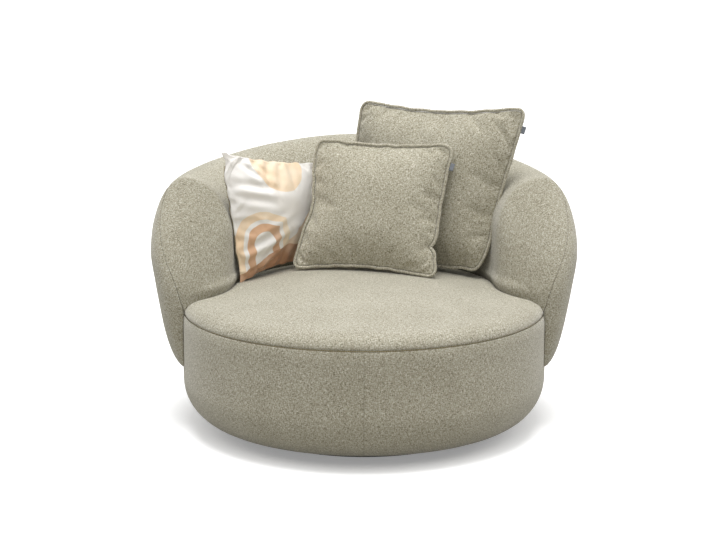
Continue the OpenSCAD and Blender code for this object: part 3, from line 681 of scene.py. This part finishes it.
def sink_edges(points, first, last):
    """Rolls the first or last rows of each station inwards, for a sewn edge."""
    along = np.gradient(points, axis=0)
    down = np.gradient(points, axis=1)
    normal = np.cross(down, along)
    size = np.linalg.norm(normal, axis=-1, keepdims=True)
    normal = normal / np.maximum(size, 1e-9)
    gap = np.linalg.norm(np.diff(points, axis=1), axis=-1)
    run = np.concatenate([np.zeros((len(points), 1)), np.cumsum(gap, axis=1)], axis=1)
    amount = np.zeros(run.shape)
    if first:
        amount += np.exp(-(run / SEWN_WIDTH) ** 2)
    if last:
        amount += np.exp(-((run[:, -1:] - run) / SEWN_WIDTH) ** 2)
    return points - normal * (amount * SEWN_DEPTH)[..., None], normal


# %% Covers of the back
def make_back_cover(part, name, count):
    points, uv = cover_points(part, count)
    points, normal = sink_edges(points, part == "inside", part == "outside")
    soft = unevenness(points, 0.19, 3) * 0.0022 + unevenness(points, 0.07, 4) * 0.0007
    if part == "inside":
        folds = unevenness(points * np.array([1, 1, 0.25]), 0.045, 5)
        soft += folds * 0.0022 * np.exp(-np.clip(points[..., 2] - 0.43, 0, None) / 0.07)
        above = points[..., 2] - seat_level(points[..., 0], points[..., 1])
        half = np.arange(points.shape[1]) > points.shape[1] // 2
        soft += half * (0.0075 * np.exp(-((above - 0.024) / 0.015) ** 2)
                        - 0.0015 * np.exp(-(above / 0.004) ** 2))
    tip = np.minimum(np.arange(len(points)), np.arange(len(points))[::-1])[:, None]
    points = points + normal * (soft * np.clip(tip / 12, 0, 1))[..., None]
    if part == "inside":
        for end in (0, -1):
            points[end] = (points[end] + points[end][::-1]) / 2
    piece = sheet_of_quads(name, points[:, ::-1], uv[:, ::-1], fabric)
    thread_line = points[:, -1] + normal[:, -1] * (SEWN_DEPTH + THREAD_RISE)
    return thicken(soften(piece, 0.00002), cloth * 0.6, -1), thread_line


inside_cover, _ = make_back_cover("inside", "inside_back_sewn", 84)
outside_cover, back_seam = make_back_cover("outside", "outside_back_sewn", 62)
hand_over(inside_cover, "seat", "inside_back_cover")
hand_over(outside_cover, "seat", "outside_back_cover")

# %% [markdown]
# A loose cushion is two panels sewn round a rim and filled. Its corners stay out while its
# sides pull in, and small puckers start at the seam. Modelling the puckers by hand is slow and
# looks drawn, so the panels are made a little too large, their rim is pinned to the outline,
# and a cloth simulation with inside pressure fills them.

# %% Outline of a cushion
def cushion_grid(cells):
    g = np.linspace(-1, 1, cells + 1)
    g = np.sin(g * np.pi / 2 * 0.86) / math.sin(np.pi / 2 * 0.86)
    return np.meshgrid(g, g, indexing="ij")


def cushion_plan(shape, u, v):
    """Place in the cushion's own plane for u and v from -1 to 1."""
    most = np.maximum(np.abs(u), np.abs(v))
    power = shape["corner"]
    rounding = (np.abs(u) ** power + np.abs(v) ** power + 1e-30) ** (1 / power)
    k = np.where(most > 0, most / rounding, 1.0)
    u, v = u * k, v * k
    left, right, bottom, top = shape["draw_in"]
    side = np.where(u < 0, left, right)
    end = np.where(v < 0, bottom, top)
    a = (1 + u * (1 - side * (1 - v * v))) / 2
    b = (1 + v * (1 - end * (1 - u * u))) / 2
    pull = np.array(shape["pull"])
    weight = np.stack([(1 - a) * (1 - b), a * (1 - b), a * b, (1 - a) * b], -1)
    flat = np.stack([shape["width"] * (a - 0.5), shape["height"] * b], -1) + weight @ pull
    wave = np.sin(u * 21 + v * 5 + shape["seed"]) * np.sin(v * 17 - u * 4 + 2 * shape["seed"])
    flat = flat + (wave * shape["wavy"] * np.maximum(np.abs(u), np.abs(v)) ** 6)[..., None]
    for at_u, at_v, size, dx, dz in shape.get("dents", ()):
        near = np.exp(-((u - at_u) ** 2 + (v - at_v) ** 2) / size**2)
        flat = flat + near[..., None] * np.array([dx, dz])
    return flat


def sewn_grid(shape, full):
    """Both panels as one closed mesh: points, faces, numbers of the rim's points, UV map."""
    u, v = cushion_grid(shape["cells"])
    flat = cushion_plan(shape, u, v)
    depth = full * shape["depth"] / 2 * np.clip((1 - u * u) * (1 - v * v), 0, None) ** 0.42
    rim = (np.abs(u) > 1 - 1e-9) | (np.abs(v) > 1 - 1e-9)
    front = np.arange(u.size).reshape(u.shape)
    rear = front.copy()
    rear[~rim] = np.arange((~rim).sum()) + u.size
    points = xyz(flat[..., 0], -depth, flat[..., 1]).reshape(-1, 3)
    behind = xyz(flat[..., 0], depth, flat[..., 1])[~rim]
    faces = [np.stack([front[:-1, :-1], front[1:, :-1], front[1:, 1:], front[:-1, 1:]], -1),
             np.stack([rear[:-1, :-1], rear[:-1, 1:], rear[1:, 1:], rear[1:, :-1]], -1)]
    faces = np.concatenate([f.reshape(-1, 4) for f in faces])
    uv = np.stack([u * shape["width"] / 2, v * shape["height"] / 2], -1).reshape(-1, 2)
    uv = np.concatenate([uv, uv.reshape(u.shape + (2,))[~rim] + 3.0])
    return np.concatenate([points, behind]), faces, front[rim], uv


# %% Filling a cushion
FRAMES = 20
FARTHEST_SWELL = 0.06
THINNEST = 0.0015


def blow_up(piece, shape, points, rim):
    """Fills the sewn panels by inside pressure, with their rim pinned."""
    pinned = piece.vertex_groups.new(name="rim")
    pinned.add([int(i) for i in rim], 1.0, "REPLACE")
    simulation = piece.modifiers.new("filling", "CLOTH")
    for key, value in {
            "vertex_group_mass": "rim", "quality": 5, "mass": 0.3, "tension_stiffness": 40,
            "compression_stiffness": 5, "shear_stiffness": 10,
            "bending_stiffness": shape["stiff"], "use_pressure": True,
            "uniform_pressure_force": 4, "shrink_min": -shape["slack"],
            "shrink_max": -shape["slack"]}.items():
        setattr(simulation.settings, key, value)
    simulation.settings.effector_weights.gravity = 0
    simulation.point_cache.frame_start, simulation.point_cache.frame_end = 1, FRAMES
    for number in range(1, FRAMES + 1):
        bpy.context.scene.frame_set(number)
    bake_modifiers(piece)
    bpy.context.scene.frame_set(1)
    piece.vertex_groups.clear()
    filled = points_of(piece.data)
    filled[:, 1] *= shape["depth"] / np.ptp(filled[:, 1])
    moved = filled - points
    length = np.linalg.norm(moved, axis=1, keepdims=True)
    filled = points + moved * np.minimum(1, FARTHEST_SWELL / np.maximum(length, 1e-9))
    # Neither panel may pass through the other
    inward = np.ones(len(filled), dtype=bool)
    inward[rim] = False
    ahead = np.arange(len(filled)) < (shape["cells"] + 1) ** 2
    filled[inward & ahead, 1] = np.minimum(filled[inward & ahead, 1], -THINNEST)
    filled[inward & ~ahead, 1] = np.maximum(filled[inward & ~ahead, 1], THINNEST)
    set_points(piece.data, filled)


def press_folds(piece, shape):
    """Adds the soft folds of a slack front panel; each has a middle, a way and sizes."""
    for middle_u, middle_v, way, wavelength, reach, deep in shape.get("folds", ()):
        filled = points_of(piece.data)
        x = filled[:, 0] - middle_u * shape["width"] / 2
        z = filled[:, 2] - (middle_v + 1) * shape["height"] / 2
        turn = math.radians(way)
        across = z * math.cos(turn) - x * math.sin(turn)
        along = x * math.cos(turn) + z * math.sin(turn)
        ridge = np.cos(across / wavelength * 2 * np.pi + along * 14) * np.exp(
            -(across / (wavelength * 1.1)) ** 2 - (along / reach) ** 2)
        filled[:, 1] -= ridge * deep * np.clip(-filled[:, 1] / 0.012, 0, 1)
        set_points(piece.data, filled)


def fill_cushion(shape, name):
    points, faces, rim, uv = sewn_grid(shape, shape["start"])
    mesh = bpy.data.meshes.new(name)
    mesh.from_pydata(points.tolist(), [], faces.tolist())
    put_uv(mesh, uv)
    piece = add_object(name, mesh)
    blow_up(piece, shape, points, rim)
    press_folds(piece, shape)
    on_rim = np.zeros(len(points), dtype=bool)
    on_rim[rim] = True
    ends = np.empty(len(piece.data.edges) * 2, dtype=np.int64)
    piece.data.edges.foreach_get("vertices", ends)
    crease = piece.data.attributes.new("crease_edge", "FLOAT", "EDGE")
    crease.data.foreach_set("value", on_rim[ends.reshape(-1, 2)].all(1).astype(np.float32))
    finer = piece.modifiers.new("finer", "SUBSURF")
    finer.levels = finer.render_levels = 1
    finer.uv_smooth = "NONE"
    bake_modifiers(piece)
    return soften(piece)


# %% [markdown]
# The third cushion is printed satin. Its print is a plain design of soft arches, hills and a
# disc in cream, peach and terracotta on a pale ground. The shapes are written as distances, so
# their edges stay sharp at any size. Noise moves the edges a little, as ink does on cloth.

# %% Printed satin
def print_colours(bench):
    place = cloth_place(bench)
    u, v, _ = bench.split(place)
    ink = (bench.noise(place, 19.0, 2.0) - 0.5) * 0.011
    wash = bench.noise(place, 7.0, 3.0)
    edge = 0.0015

    def disc(x, y, radius):
        across, up = u - x, v - y
        return (((across * across + up * up).root() + ink) * -1.0 + radius).ramp(-edge, edge)

    def arch(x, y, outer, inner):
        above = (v - y).ramp(-edge, edge)
        ring = disc(x, y, outer) * (1 - disc(x, y, inner))
        legs = ((u - x).size() * -1.0 + outer).ramp(-edge, edge) * (
            (u - x).size() - inner).ramp(-edge, edge) * (1 - above)
        return (ring * above + legs).clamp()

    def hill(middle, height, width):
        away = (u - middle) / width
        return (height / (away * away + 1.0) - 0.2 - v + ink).ramp(-edge, edge)

    tone = bench.mix(wash.ramp(0.35, 0.65), colour(236, 232, 226), colour(246, 244, 241))
    cream = bench.mix(wash.ramp(0.3, 0.7), colour(238, 208, 172), colour(248, 232, 206))
    tone = bench.mix(disc(0.02, 0.19, 0.105), tone, cream)
    tone = bench.mix(hill(0.13, 0.215, 0.11), tone, colour(240, 217, 190))
    tone = bench.mix(arch(-0.095, -0.085, 0.105, 0.078), tone, cream)
    tone = bench.mix(arch(-0.095, -0.085, 0.064, 0.038), tone, colour(212, 170, 134))
    clay = bench.mix(wash.ramp(0.35, 0.65), colour(186, 138, 104), colour(210, 168, 134))
    tone = bench.mix(hill(0.03, 0.085, 0.17), tone, clay)
    return bench.mix(wash.ramp(0.45, 0.75) * 0.3, tone, colour(250, 240, 228))


def satin_height(bench):
    u, v, _ = bench.split(cloth_place(bench))
    return ((u * 1.0 + v * 0.8) * 5200.0).sin() * 0.3 + bench.noise(cloth_place(bench), 60.0, 2.0)


satin_print = new_material("satin_printed", print_colours, 0.36, bump=satin_height,
                           bump_depth=0.0006, bump_strength=0.35,
                           fixed={"Sheen Weight": 0.25, "Sheen Roughness": 0.35,
                                  "Specular IOR Level": 0.6})

# %% [markdown]
# Each cushion is made upright at the origin and then put in its place: leaned back, turned,
# and lowered until its lowest point just touches the crowned seat. The piping is a cord
# in a strip of the same cloth, swept along the rim by geometry nodes.

# %% Placing a cushion
def placed(points, shape):
    """Leans and turns points of a cushion and sets them at its height."""
    turn, lean = np.radians(shape["turn"])
    x, y, z = np.asarray(points).T
    back, up = y * math.cos(lean) + z * math.sin(lean), z * math.cos(lean) - y * math.sin(lean)
    return xyz(shape["at"][0] + x * math.cos(turn) + back * math.sin(turn),
               shape["at"][1] - x * math.sin(turn) + back * math.cos(turn), up + shape["lift"])


def set_down(rim, shape, thickness):
    """Finds the height at which the rim's lowest point just clears the seat."""
    trial = placed(rim, shape)
    shape["lift"] = float(np.max(seat_level(trial[:, 0], trial[:, 1]) - trial[:, 2]) + thickness)


def beside(along):
    """Unit vectors to the right of the given ones."""
    side = np.stack([along[:, 1], -along[:, 0]], -1)
    return side / np.linalg.norm(side, axis=1, keepdims=True)


def rim_line(shape, out, count=72):
    """The cushion's rim as points, `out` metres outside the sewn edge."""
    g = np.linspace(-1, 1, count + 1)[:-1]
    one = np.ones(count)
    u = np.concatenate([g, one, -g, -one])
    v = np.concatenate([-one, g, one, -g])
    flat = cushion_plan(shape, u, v)
    flat = flat + beside(np.roll(flat, -1, 0) - np.roll(flat, 1, 0)) * out
    return xyz(flat[:, 0], 0.0, flat[:, 1])


PIPING, CORD_GAP, SEAT_GAP = 0.005, 0.0003, 0.0005


def piping_tree():
    """A cord swept along a rim; its weave runs at 45 degrees, as in a strip cut on the bias."""
    tree, b, size = new_tree("piping_round_a_rim", {
        "Cord radius": (FLOAT, PIPING), "Sides": (COUNT, 10), "Fabric": (MATERIAL, None)})
    length = b.wire(b.node("GeometryNodeSplineParameter"), "Length")
    circle = b.node("GeometryNodeCurvePrimitiveCircle", None, {
        "Resolution": size["Sides"], "Radius": size["Cord radius"]})
    swept = b.node("GeometryNodeCurveToMesh", None, {
        "Curve": stored(b, size["Geometry"], "along", length),
        "Profile Curve": stored(b, circle, "round", length)})
    along, around = [
        b.wire(b.node("GeometryNodeInputNamedAttribute", {"data_type": "FLOAT"}, {"Name": n}))
        for n in ("along", "round")]
    bias = b.join((along + around) * 0.7071, (along - around) * 0.7071)
    end_tree(b, shaded_smooth(b, stored(b, swept, "cloth", bias, "FLOAT2", "CORNER")),
             size["Fabric"])
    return tree


piping_rule = piping_tree()

# %% Sizes of the cushions
def cushion(width, height, depth, at, pull, **more):
    """Lengths, places and the pull of each corner are in percent of the back's inside radius.

    turn: degrees round the vertical and degrees of leaning back.
    dents in the rim: [u, v, size, sideways, up]. folds: [u, v, way, wavelength, reach, depth].
    """
    unit = wall_radius / 100
    return {"width": width * unit, "height": height * unit, "depth": depth * unit,
            "at": [a * unit for a in at], "pull": [[a * unit for a in c] for c in pull],
            "lift": 0.0, **more}


plump = {"cells": 60, "corner": 18, "start": 0.6, "slack": 0.035, "stiff": 0.1}
large = cushion(
    width=125.3, height=123.4, depth=30.2, at=(29.4, 52.8), turn=(28, 9), seed=1, **plump,
    pull=[(0, -5.1), (1.2, -1.4), (31.4, 1.4), (18.3, -1.0)],
    wavy=0.0014, draw_in=(0.06, 0.00, 0.06, 0.10),
    dents=[(1, -0.68, 0.28, 0.012, 0.0), (0.8, -1, 0.12, 0.0, 0.007)])
small = cushion(
    width=108.9, height=98.3, depth=25.1, at=(-1.2, 21.4), turn=(18, 16), seed=2, **plump,
    pull=[(-1.4, 0), (0.5, 0), (8.2, 1.9), (10.6, 1.4)],
    wavy=0.0016, draw_in=(0.06, 0.05, 0.11, 0.06),
    dents=[(1, -0.56, 0.07, -0.017, 0.0), (1, -0.98, 0.20, 0.009, 0.0),
           (-1, -0.03, 0.30, 0.013, 0.0), (-1, 0.66, 0.30, -0.005, 0.0)])
satin = cushion(
    width=94.0, height=94.5, depth=23.1, at=(-60.6, 50.5), turn=(-50, 3), seed=3,
    cells=72, corner=60, start=0.55, slack=0.055, stiff=0.03,
    pull=[(-6.5, -1.6), (0, 1.4), (-9.6, -14), (-20.5, 7.0)],
    wavy=0.0020, draw_in=(0.06, 0.06, 0.14, 0.06),
    folds=[(-0.80, 0.42, -8, 0.045, 0.09, 0.0055), (-0.72, -0.50, 24, 0.050, 0.12, 0.0065),
           (-0.60, -0.78, 38, 0.040, 0.10, 0.0050), (-0.78, 0.84, -35, 0.035, 0.06, 0.0040)],
    dents=[(-1, 0.86, 0.16, 0.014, 0.0), (-1, -0.80, 0.22, 0.006, 0.0)])

# %% Cushions
CASE_GAP = 0.004
fibre_tone = colour(244, 242, 236)
fibre = new_material("fibre_case", lambda b: b.mix(0.0, fibre_tone, fibre_tone), 0.9)


def make_cushion(shape, name, material, piped):
    """Cover, filling and piping; returns the cover, which the zip is laid on."""
    cover = fill_cushion(shape, name + "_sewn")
    rim = rim_line(shape, PIPING + CORD_GAP if piped else 0.0)
    set_down(rim, shape, (PIPING if piped else 0.0) + SEAT_GAP)
    local = points_of(cover.data)
    core = cover.copy()
    core.data = cover.data.copy()
    core.name = name + "_filled"
    bpy.context.scene.collection.objects.link(core)
    middle = np.array([local[:, 0].mean(), 0.0, local[:, 2].mean()])
    inner = middle + (local - middle) * np.array([0.990, 1.0, 0.990])
    inner[:, 1] = np.sign(inner[:, 1]) * np.clip(np.abs(inner[:, 1]) - CASE_GAP, 0, None)
    set_points(core.data, placed(inner, shape))
    set_points(cover.data, placed(local, shape))
    cover.data.materials.append(material)
    core.data.materials.append(fibre)
    hand_over(cover, name, name + "_cover")
    hand_over(core, name, name + "_filling")
    if piped:
        path = curve_through([placed(rim, shape)], closed=True)
        piping = run_tree(name + "_piped", path, piping_rule, {"Fabric": material})
        hand_over(piping, name, name + "_piping")
    print(name, "rests at", round(shape["lift"], 4))
    return cover


# The large and small cushions and their piping take the lighter copy of the fabric, which is
# painted light.
large_made = make_cushion(large, "large_cushion", cushion_fabric_painted_light, True)
small_made = make_cushion(small, "small_cushion", cushion_fabric_painted_light, True)
satin_made = make_cushion(satin, "satin_cushion", satin_print, False)

# %% [markdown]
# Stitches, zip teeth and staples are one small thing repeated along a line. One node tree
# does all three: it spaces points evenly on a path, turns each along it and puts a small
# bead there. The bead's three sizes are inputs, so the same tree makes a thread or a wire.

# %% Small things along a path
def row_tree():
    tree, b, size = new_tree("beads_along_a_path", {
        "Spacing": (FLOAT, 0.005), "Along": (FLOAT, 0.003), "Across": (FLOAT, 0.001),
        "Thick": (FLOAT, 0.001), "Material": (MATERIAL, None)})
    spots = b.node("GeometryNodeCurveToPoints", {"mode": "LENGTH"}, {
        "Curve": size["Geometry"], "Length": size["Spacing"]})
    bead = b.node("GeometryNodeMeshUVSphere", None, {"Segments": 7, "Rings": 5, "Radius": 0.5})
    rows = b.node("GeometryNodeInstanceOnPoints", None, {
        "Points": spots, "Instance": shaded_smooth(b, bead),
        "Rotation": spots.outputs["Rotation"],
        "Scale": b.join(size["Across"], size["Thick"], size["Along"])})
    end_tree(b, rows, size["Material"])
    return tree


bead_rule = row_tree()


def beads(name, paths, body, slot, material, **sizes):
    """One object of beads along several paths."""
    values = {label.capitalize(): size for label, size in sizes.items()}
    row = run_tree(name, curve_through(paths), bead_rule, {"Material": material, **values})
    hand_over(row, body)


# %% Thread and trim materials
def plain(tone):
    return lambda b: b.mix(b.noise(object_place(b), 260.0, 2.0).ramp(0.3, 0.7), tone,
                           dimmed(tone, 0.78))


def fine_cloth(bench):
    x, y, z = bench.split(object_place(bench))
    wave = math.pi / 0.0009
    return ((x + y) * wave).sin() * (z * wave).sin()


thread = new_material("seam_thread", plain(colour(82, 77, 63)), 0.8)
pale_thread = new_material("pale_thread", plain(colour(206, 208, 210)), 0.6)
tab_cloth = new_material("tab_tape", plain(colour(112, 117, 124)), 0.6, bump=fine_cloth,
                         bump_depth=0.0003, fixed={"Sheen Weight": 0.2})
tape_cloth = new_material("zip_tape_cloth", plain(colour(150, 141, 118)), 0.75,
                          bump=fine_cloth, bump_depth=0.0003)
coil_nylon = new_material("zip_coil", plain(colour(158, 128, 72)), 0.35)

# %% [markdown]
# The seams between the covers are closed with thread. It lies in the grooves of the two long
# seams: round the seat's edge, and along the back from arm to arm.

# %% Seams
def ring(radius, height, count=720):
    angle = np.linspace(0, 2 * math.pi, count)
    return xyz(radius * np.cos(angle), radius * np.sin(angle), height)


seat_seam = ring(seam_radius - 0.0008, seam_height - 0.0028)
beads("seam_stitches", [seat_seam, back_seam], "seat", "chair_fabric", thread,
      spacing=0.0052, along=0.0048, across=0.0018, thick=0.0011)

# %% [markdown]
# Every cushion opens with a zip. Its tape is a strip of cloth that lies on the rear panel, so
# each point of it is found by dropping a line onto the filled cover from behind. The piped
# cushions also carry a small folded tab in their side seam.

# %% Zips and tabs
BEHIND, MISSED = 0.300, 0.298
TAPE_LIFT, COIL_LIFT, TAPE, TAB = 0.0012, 0.0024, 0.0007, 0.0005


def on_rear(cover, shape, flat, lift):
    """Points on the back of a cushion, found by casting onto its cover.

    A line from BEHIND that misses the cover ends near the rim, MISSED further on.
    """
    found = []
    turn, lean = np.radians(shape["turn"])
    toward = Vector((-math.cos(lean) * math.sin(turn), -math.cos(lean) * math.cos(turn),
                     math.sin(lean)))
    for x, z in flat:
        start = Vector(placed([[x, BEHIND, z]], shape)[0])
        hit, place, normal, _ = cover.ray_cast(start, toward)
        found.append((place if hit else start + toward * MISSED) - toward * lift)
    return np.array(found)


def make_zip(cover, shape, body, u, v, coil):
    """A strip of tape with a coil, along u and v on the rear panel."""
    name = body + "_zip"
    middle = cushion_plan(shape, u, v)
    side = beside(np.gradient(middle, axis=0))
    if side[0] @ (cushion_plan(shape, np.zeros(1), np.zeros(1))[0] - middle[0]) < 0:
        side = -side
    offsets = np.array([-0.006, -0.003, 0.0, 0.003, 0.006, 0.009])
    rows = np.array([on_rear(cover, shape, middle + side * o, TAPE_LIFT) for o in offsets])
    uv = np.stack(np.broadcast_arrays(np.linspace(0, 0.4, len(u))[None], offsets[:, None]), -1)
    tape = soften(sheet_of_quads(name + "_tape", rows, uv, tape_cloth))
    hand_over(thicken(tape, TAPE), body, name)
    line = on_rear(cover, shape, middle, COIL_LIFT)
    beads(name + "_coil", [line], body, "zip_tape", coil,
          spacing=0.0016, along=0.0012, across=0.0052, thick=0.0022)


def make_tab(shape, body, v, width=0.024, reach=0.014):
    """A folded strip that stands out of the piping at height v of the right side."""
    name = body + "_tab"
    at = cushion_plan(shape, np.array([1.0, 1.0]), np.array([v, v + 0.02]))
    along = (at[1] - at[0]) / np.linalg.norm(at[1] - at[0])
    out = np.array([along[1], -along[0]])
    base = at[0] + out * (2 * PIPING - 0.0006)
    half_run = [0, 0.3, 0.6, 0.85, 0.95, 1.0]
    half_gap = [0.6, 0.75, 0.85, 0.8, 0.6, 0.25]
    run = np.array(half_run + half_run[::-1]) * reach
    gap = np.array(half_gap + [-g for g in reversed(half_gap)]) * 0.001
    across = np.linspace(-0.5, 0.5, 9) * width
    rows = []
    for r, g in zip(run, gap):
        flat = base + out * r + along[None] * across[:, None]
        curl = 0.05 * r + 0.0010 * np.sin(across / width * 4)
        rows.append(xyz(flat[:, 0], g + curl * (r / reach), flat[:, 1]))
    points = placed(np.reshape(rows, (-1, 3)), shape).reshape(len(run), len(across), 3)
    uv = np.stack(np.meshgrid(across, np.cumsum(np.full(len(run), 0.002))), -1)
    tab = soften(sheet_of_quads(name, points[:, ::-1], uv, tab_cloth))
    hand_over(thicken(tab, TAB), body, name)
    line = base + out * 0.0035 + along[None] * (across[1:-1])[:, None]
    lines = [placed(xyz(line[:, 0], y, line[:, 1]), shape) for y in (-0.0013, 0.0013)]
    beads(name + "_stitches", lines, body, "tab_fabric", pale_thread,
          spacing=0.0032, along=0.0024, across=0.0006, thick=0.0005)


low_run, side_run = np.linspace(-0.56, 0.56, 60), np.linspace(-0.75, 0.78, 60)
low_line, side_line = np.full(60, -0.90), np.full(60, -0.975)
make_zip(large_made, large, "large_cushion", low_run, low_line, tape_cloth)
make_zip(small_made, small, "small_cushion", low_run, low_line, tape_cloth)
make_zip(satin_made, satin, "satin_cushion", side_line, side_run, coil_nylon)
make_tab(large, "large_cushion", 0.76)
make_tab(small, "small_cushion", 0.70)

# %% [markdown]
# The black cloth under the drum is held by staples, which show only when the chair lies on
# its back. They are the same beads, longer and flatter, on a ring near the cloth's edge.

# %% Staples under the drum
steel_wire = new_material("staple_wire", plain(colour(178, 180, 184)), 0.3, 1.0)
beads("dust_cover_staples", [ring(0.432, 0.0324)], "seat", "zinc_steel", steel_wire,
      spacing=0.034, along=0.010, across=0.0009, thick=0.0009)

# %% [markdown]
# The hidden parts stay as they are, but each gets the look of its material: board and
# softwood with grain, zinc plated plate, foam with pores, woven webbing. All of them are
# formulas on the object's own coordinates, so nothing needs unwrapping.

# %% Materials inside
def grain(bench):
    place = bench.vector("MULTIPLY", object_place(bench), (2.2, 26.0, 26.0))
    return bench.noise(place, 1.6, 4.0, 0.6)


def wood_tones(bench):
    rings = (grain(bench) * 26.0).sin() * 0.5 + 0.5
    tone = bench.mix(rings * 0.55, colour(214, 184, 138), colour(184, 146, 98))
    return bench.mix(bench.noise(object_place(bench), 6.0, 2.0).ramp(0.4, 0.7) * 0.4, tone,
                     colour(224, 200, 160))


def speckled(name, first, second, scale, *surface, **bump):
    """A material in two tones that mix in fine specks."""
    return new_material(name, lambda b: b.mix(
        b.noise(object_place(b), scale, 3.0, 0.6).ramp(0.4, 0.65),
        colour(*first), colour(*second)), *surface, **bump)


def cells(bench, scale, output):
    return bench.wire(bench.node("ShaderNodeTexVoronoi", None, {
        "Vector": object_place(bench), "Scale": scale}), output)


def pores(bench):
    return cells(bench, 520.0, "Distance")


def strap_weave(bench):
    x, y, _ = bench.split(object_place(bench))
    return (x * 2100.0).sin() * (y * 2100.0).sin() + ((x + y) * 420.0).sin() * 0.3


def spangle(bench):
    shade = bench.split(cells(bench, 130.0, "Color"))[0]
    return bench.mix(shade, colour(176, 180, 186), colour(206, 210, 214))


def dimples(bench):
    x, y, _ = bench.split(object_place(bench))
    return ((x * 1570.0).sin() * (y * 1570.0).sin()).most(0.0)


looks = {
    "filling": fibre,
    "foam": speckled("foam_block", (244, 226, 178), (236, 214, 160), 40.0, 0.9,
                     bump=pores, bump_depth=0.0008),
    "felt": speckled("felt_sheet", (52, 52, 55), (80, 80, 84), 420.0, 0.95,
                     bump=lambda b: b.noise(object_place(b), 900.0, 3.0)),
    "webbing": speckled("elastic_webbing", (70, 66, 62), (98, 92, 84), 190.0, 0.8,
                        bump=strap_weave),
    "lining_cloth": speckled("black_lining", (34, 34, 36), (50, 50, 52), 90.0, 0.85,
                             bump=dimples, bump_depth=0.0004),
    "plinth_wood": speckled("black_board", (28, 27, 26), (38, 36, 34), 30.0, 0.55,
                            bump=grain, bump_depth=0.0003),
    "timber": new_material("softwood", wood_tones, 0.6, bump=grain, bump_depth=0.0004),
    "hardboard": speckled("brown_hardboard", (150, 106, 70), (118, 80, 50), 240.0, 0.5),
    "zinc_steel": new_material("zinc_plated", spangle, 0.34, 1.0),
    "bearing_steel": speckled("bright_balls", (214, 216, 220), (200, 202, 208), 60.0, 0.14, 1.0),
    "cage_plastic": speckled("dark_cage", (40, 44, 46), (52, 56, 58), 80.0, 0.4),
    "chair_fabric": fabric, "seat_fabric": seat_fabric, "satin_print": satin_print,
    "tab_fabric": tab_cloth, "zip_tape": tape_cloth}
for part in frame["record"]["subparts"]:
    solid = frame["nodes"][part["node"]]
    look = looks[part["material_slot"]]
    if len(solid.data.materials) == 0:
        solid.data.materials.append(look)
    for number in range(len(solid.data.materials)):
        solid.data.materials[number] = look
print("materials on", len(frame["nodes"]), "solids")

# %% [markdown]
# The chair stands on a white floor with a narrow dark shadow under it. One wide lamp overhead
# makes the seat lighter than the drum, as in the photograph. A weaker one in front lights the
# arms' fronts, two more lift the sides, and the sky fills the rest. Suns are used and not near
# lamps, because they light the whole floor alike. Seen by the camera the floor is white, but it
# throws back less light than that onto the drum.

# %% Light and floor
for name, strength, size, elevation, azimuth in (
        ("overhead_sun", 2.7, 30, 86, 0), ("front_sun", 1.0, 44, 55, 0),
        ("left_sun", 0.5, 40, 34, -104), ("right_sun", 0.8, 40, 34, 104)):
    lamp = bpy.data.lights.new(name, "SUN")
    lamp.energy, lamp.angle = strength, math.radians(size)
    holder = add_object(name, lamp)
    holder.rotation_euler = (math.radians(90 - elevation), 0.0, math.radians(azimuth))


def seen_directly(bench):
    rays = bench.node("ShaderNodeLightPath")
    camera_ray, glossy_ray, clear_ray = [
        bench.wire(rays, "Is %s Ray" % kind) for kind in ("Camera", "Glossy", "Transmission")]
    return camera_ray, camera_ray.most(glossy_ray).most(clear_ray)


def for_camera(unseen, grey):
    """One colour for the light that bounces, and a grey for what the camera sees."""
    return lambda b: b.mix(seen_directly(b)[0], (*unseen, 1.0), (grey, grey, grey, 1.0))


world = bpy.data.worlds.new("room")
bpy.context.scene.world = world
world.use_nodes = True
world.node_tree.nodes.clear()
room_light = 0.38
wb = Bench(world.node_tree)
backdrop = wb.node("ShaderNodeBackground", None, {
    "Color": (1.0, 1.0, 1.0, 1.0),
    "Strength": seen_directly(wb)[1] * (1 - room_light) + room_light})
wb.node("ShaderNodeOutputWorld", None, {"Surface": backdrop})

floor_mesh = bpy.data.meshes.new("floor")
floor_corners = [(-40, -20, 0), (40, -20, 0), (40, 60, 0), (-40, 60, 0)]
floor_mesh.from_pydata(floor_corners, [], [(0, 1, 2, 3)])
floor = add_object("floor", floor_mesh)
floor.data.materials.append(new_material(
    "floor_white", for_camera((0.38, 0.37, 0.34), 0.86), 0.9,
    fixed={"Specular IOR Level": 0.0, "Emission Strength": 1.0,
           "Emission Color": for_camera((0.0, 0.0, 0.0), 0.27)}))
bpy.context.scene.view_settings.view_transform = "Standard"
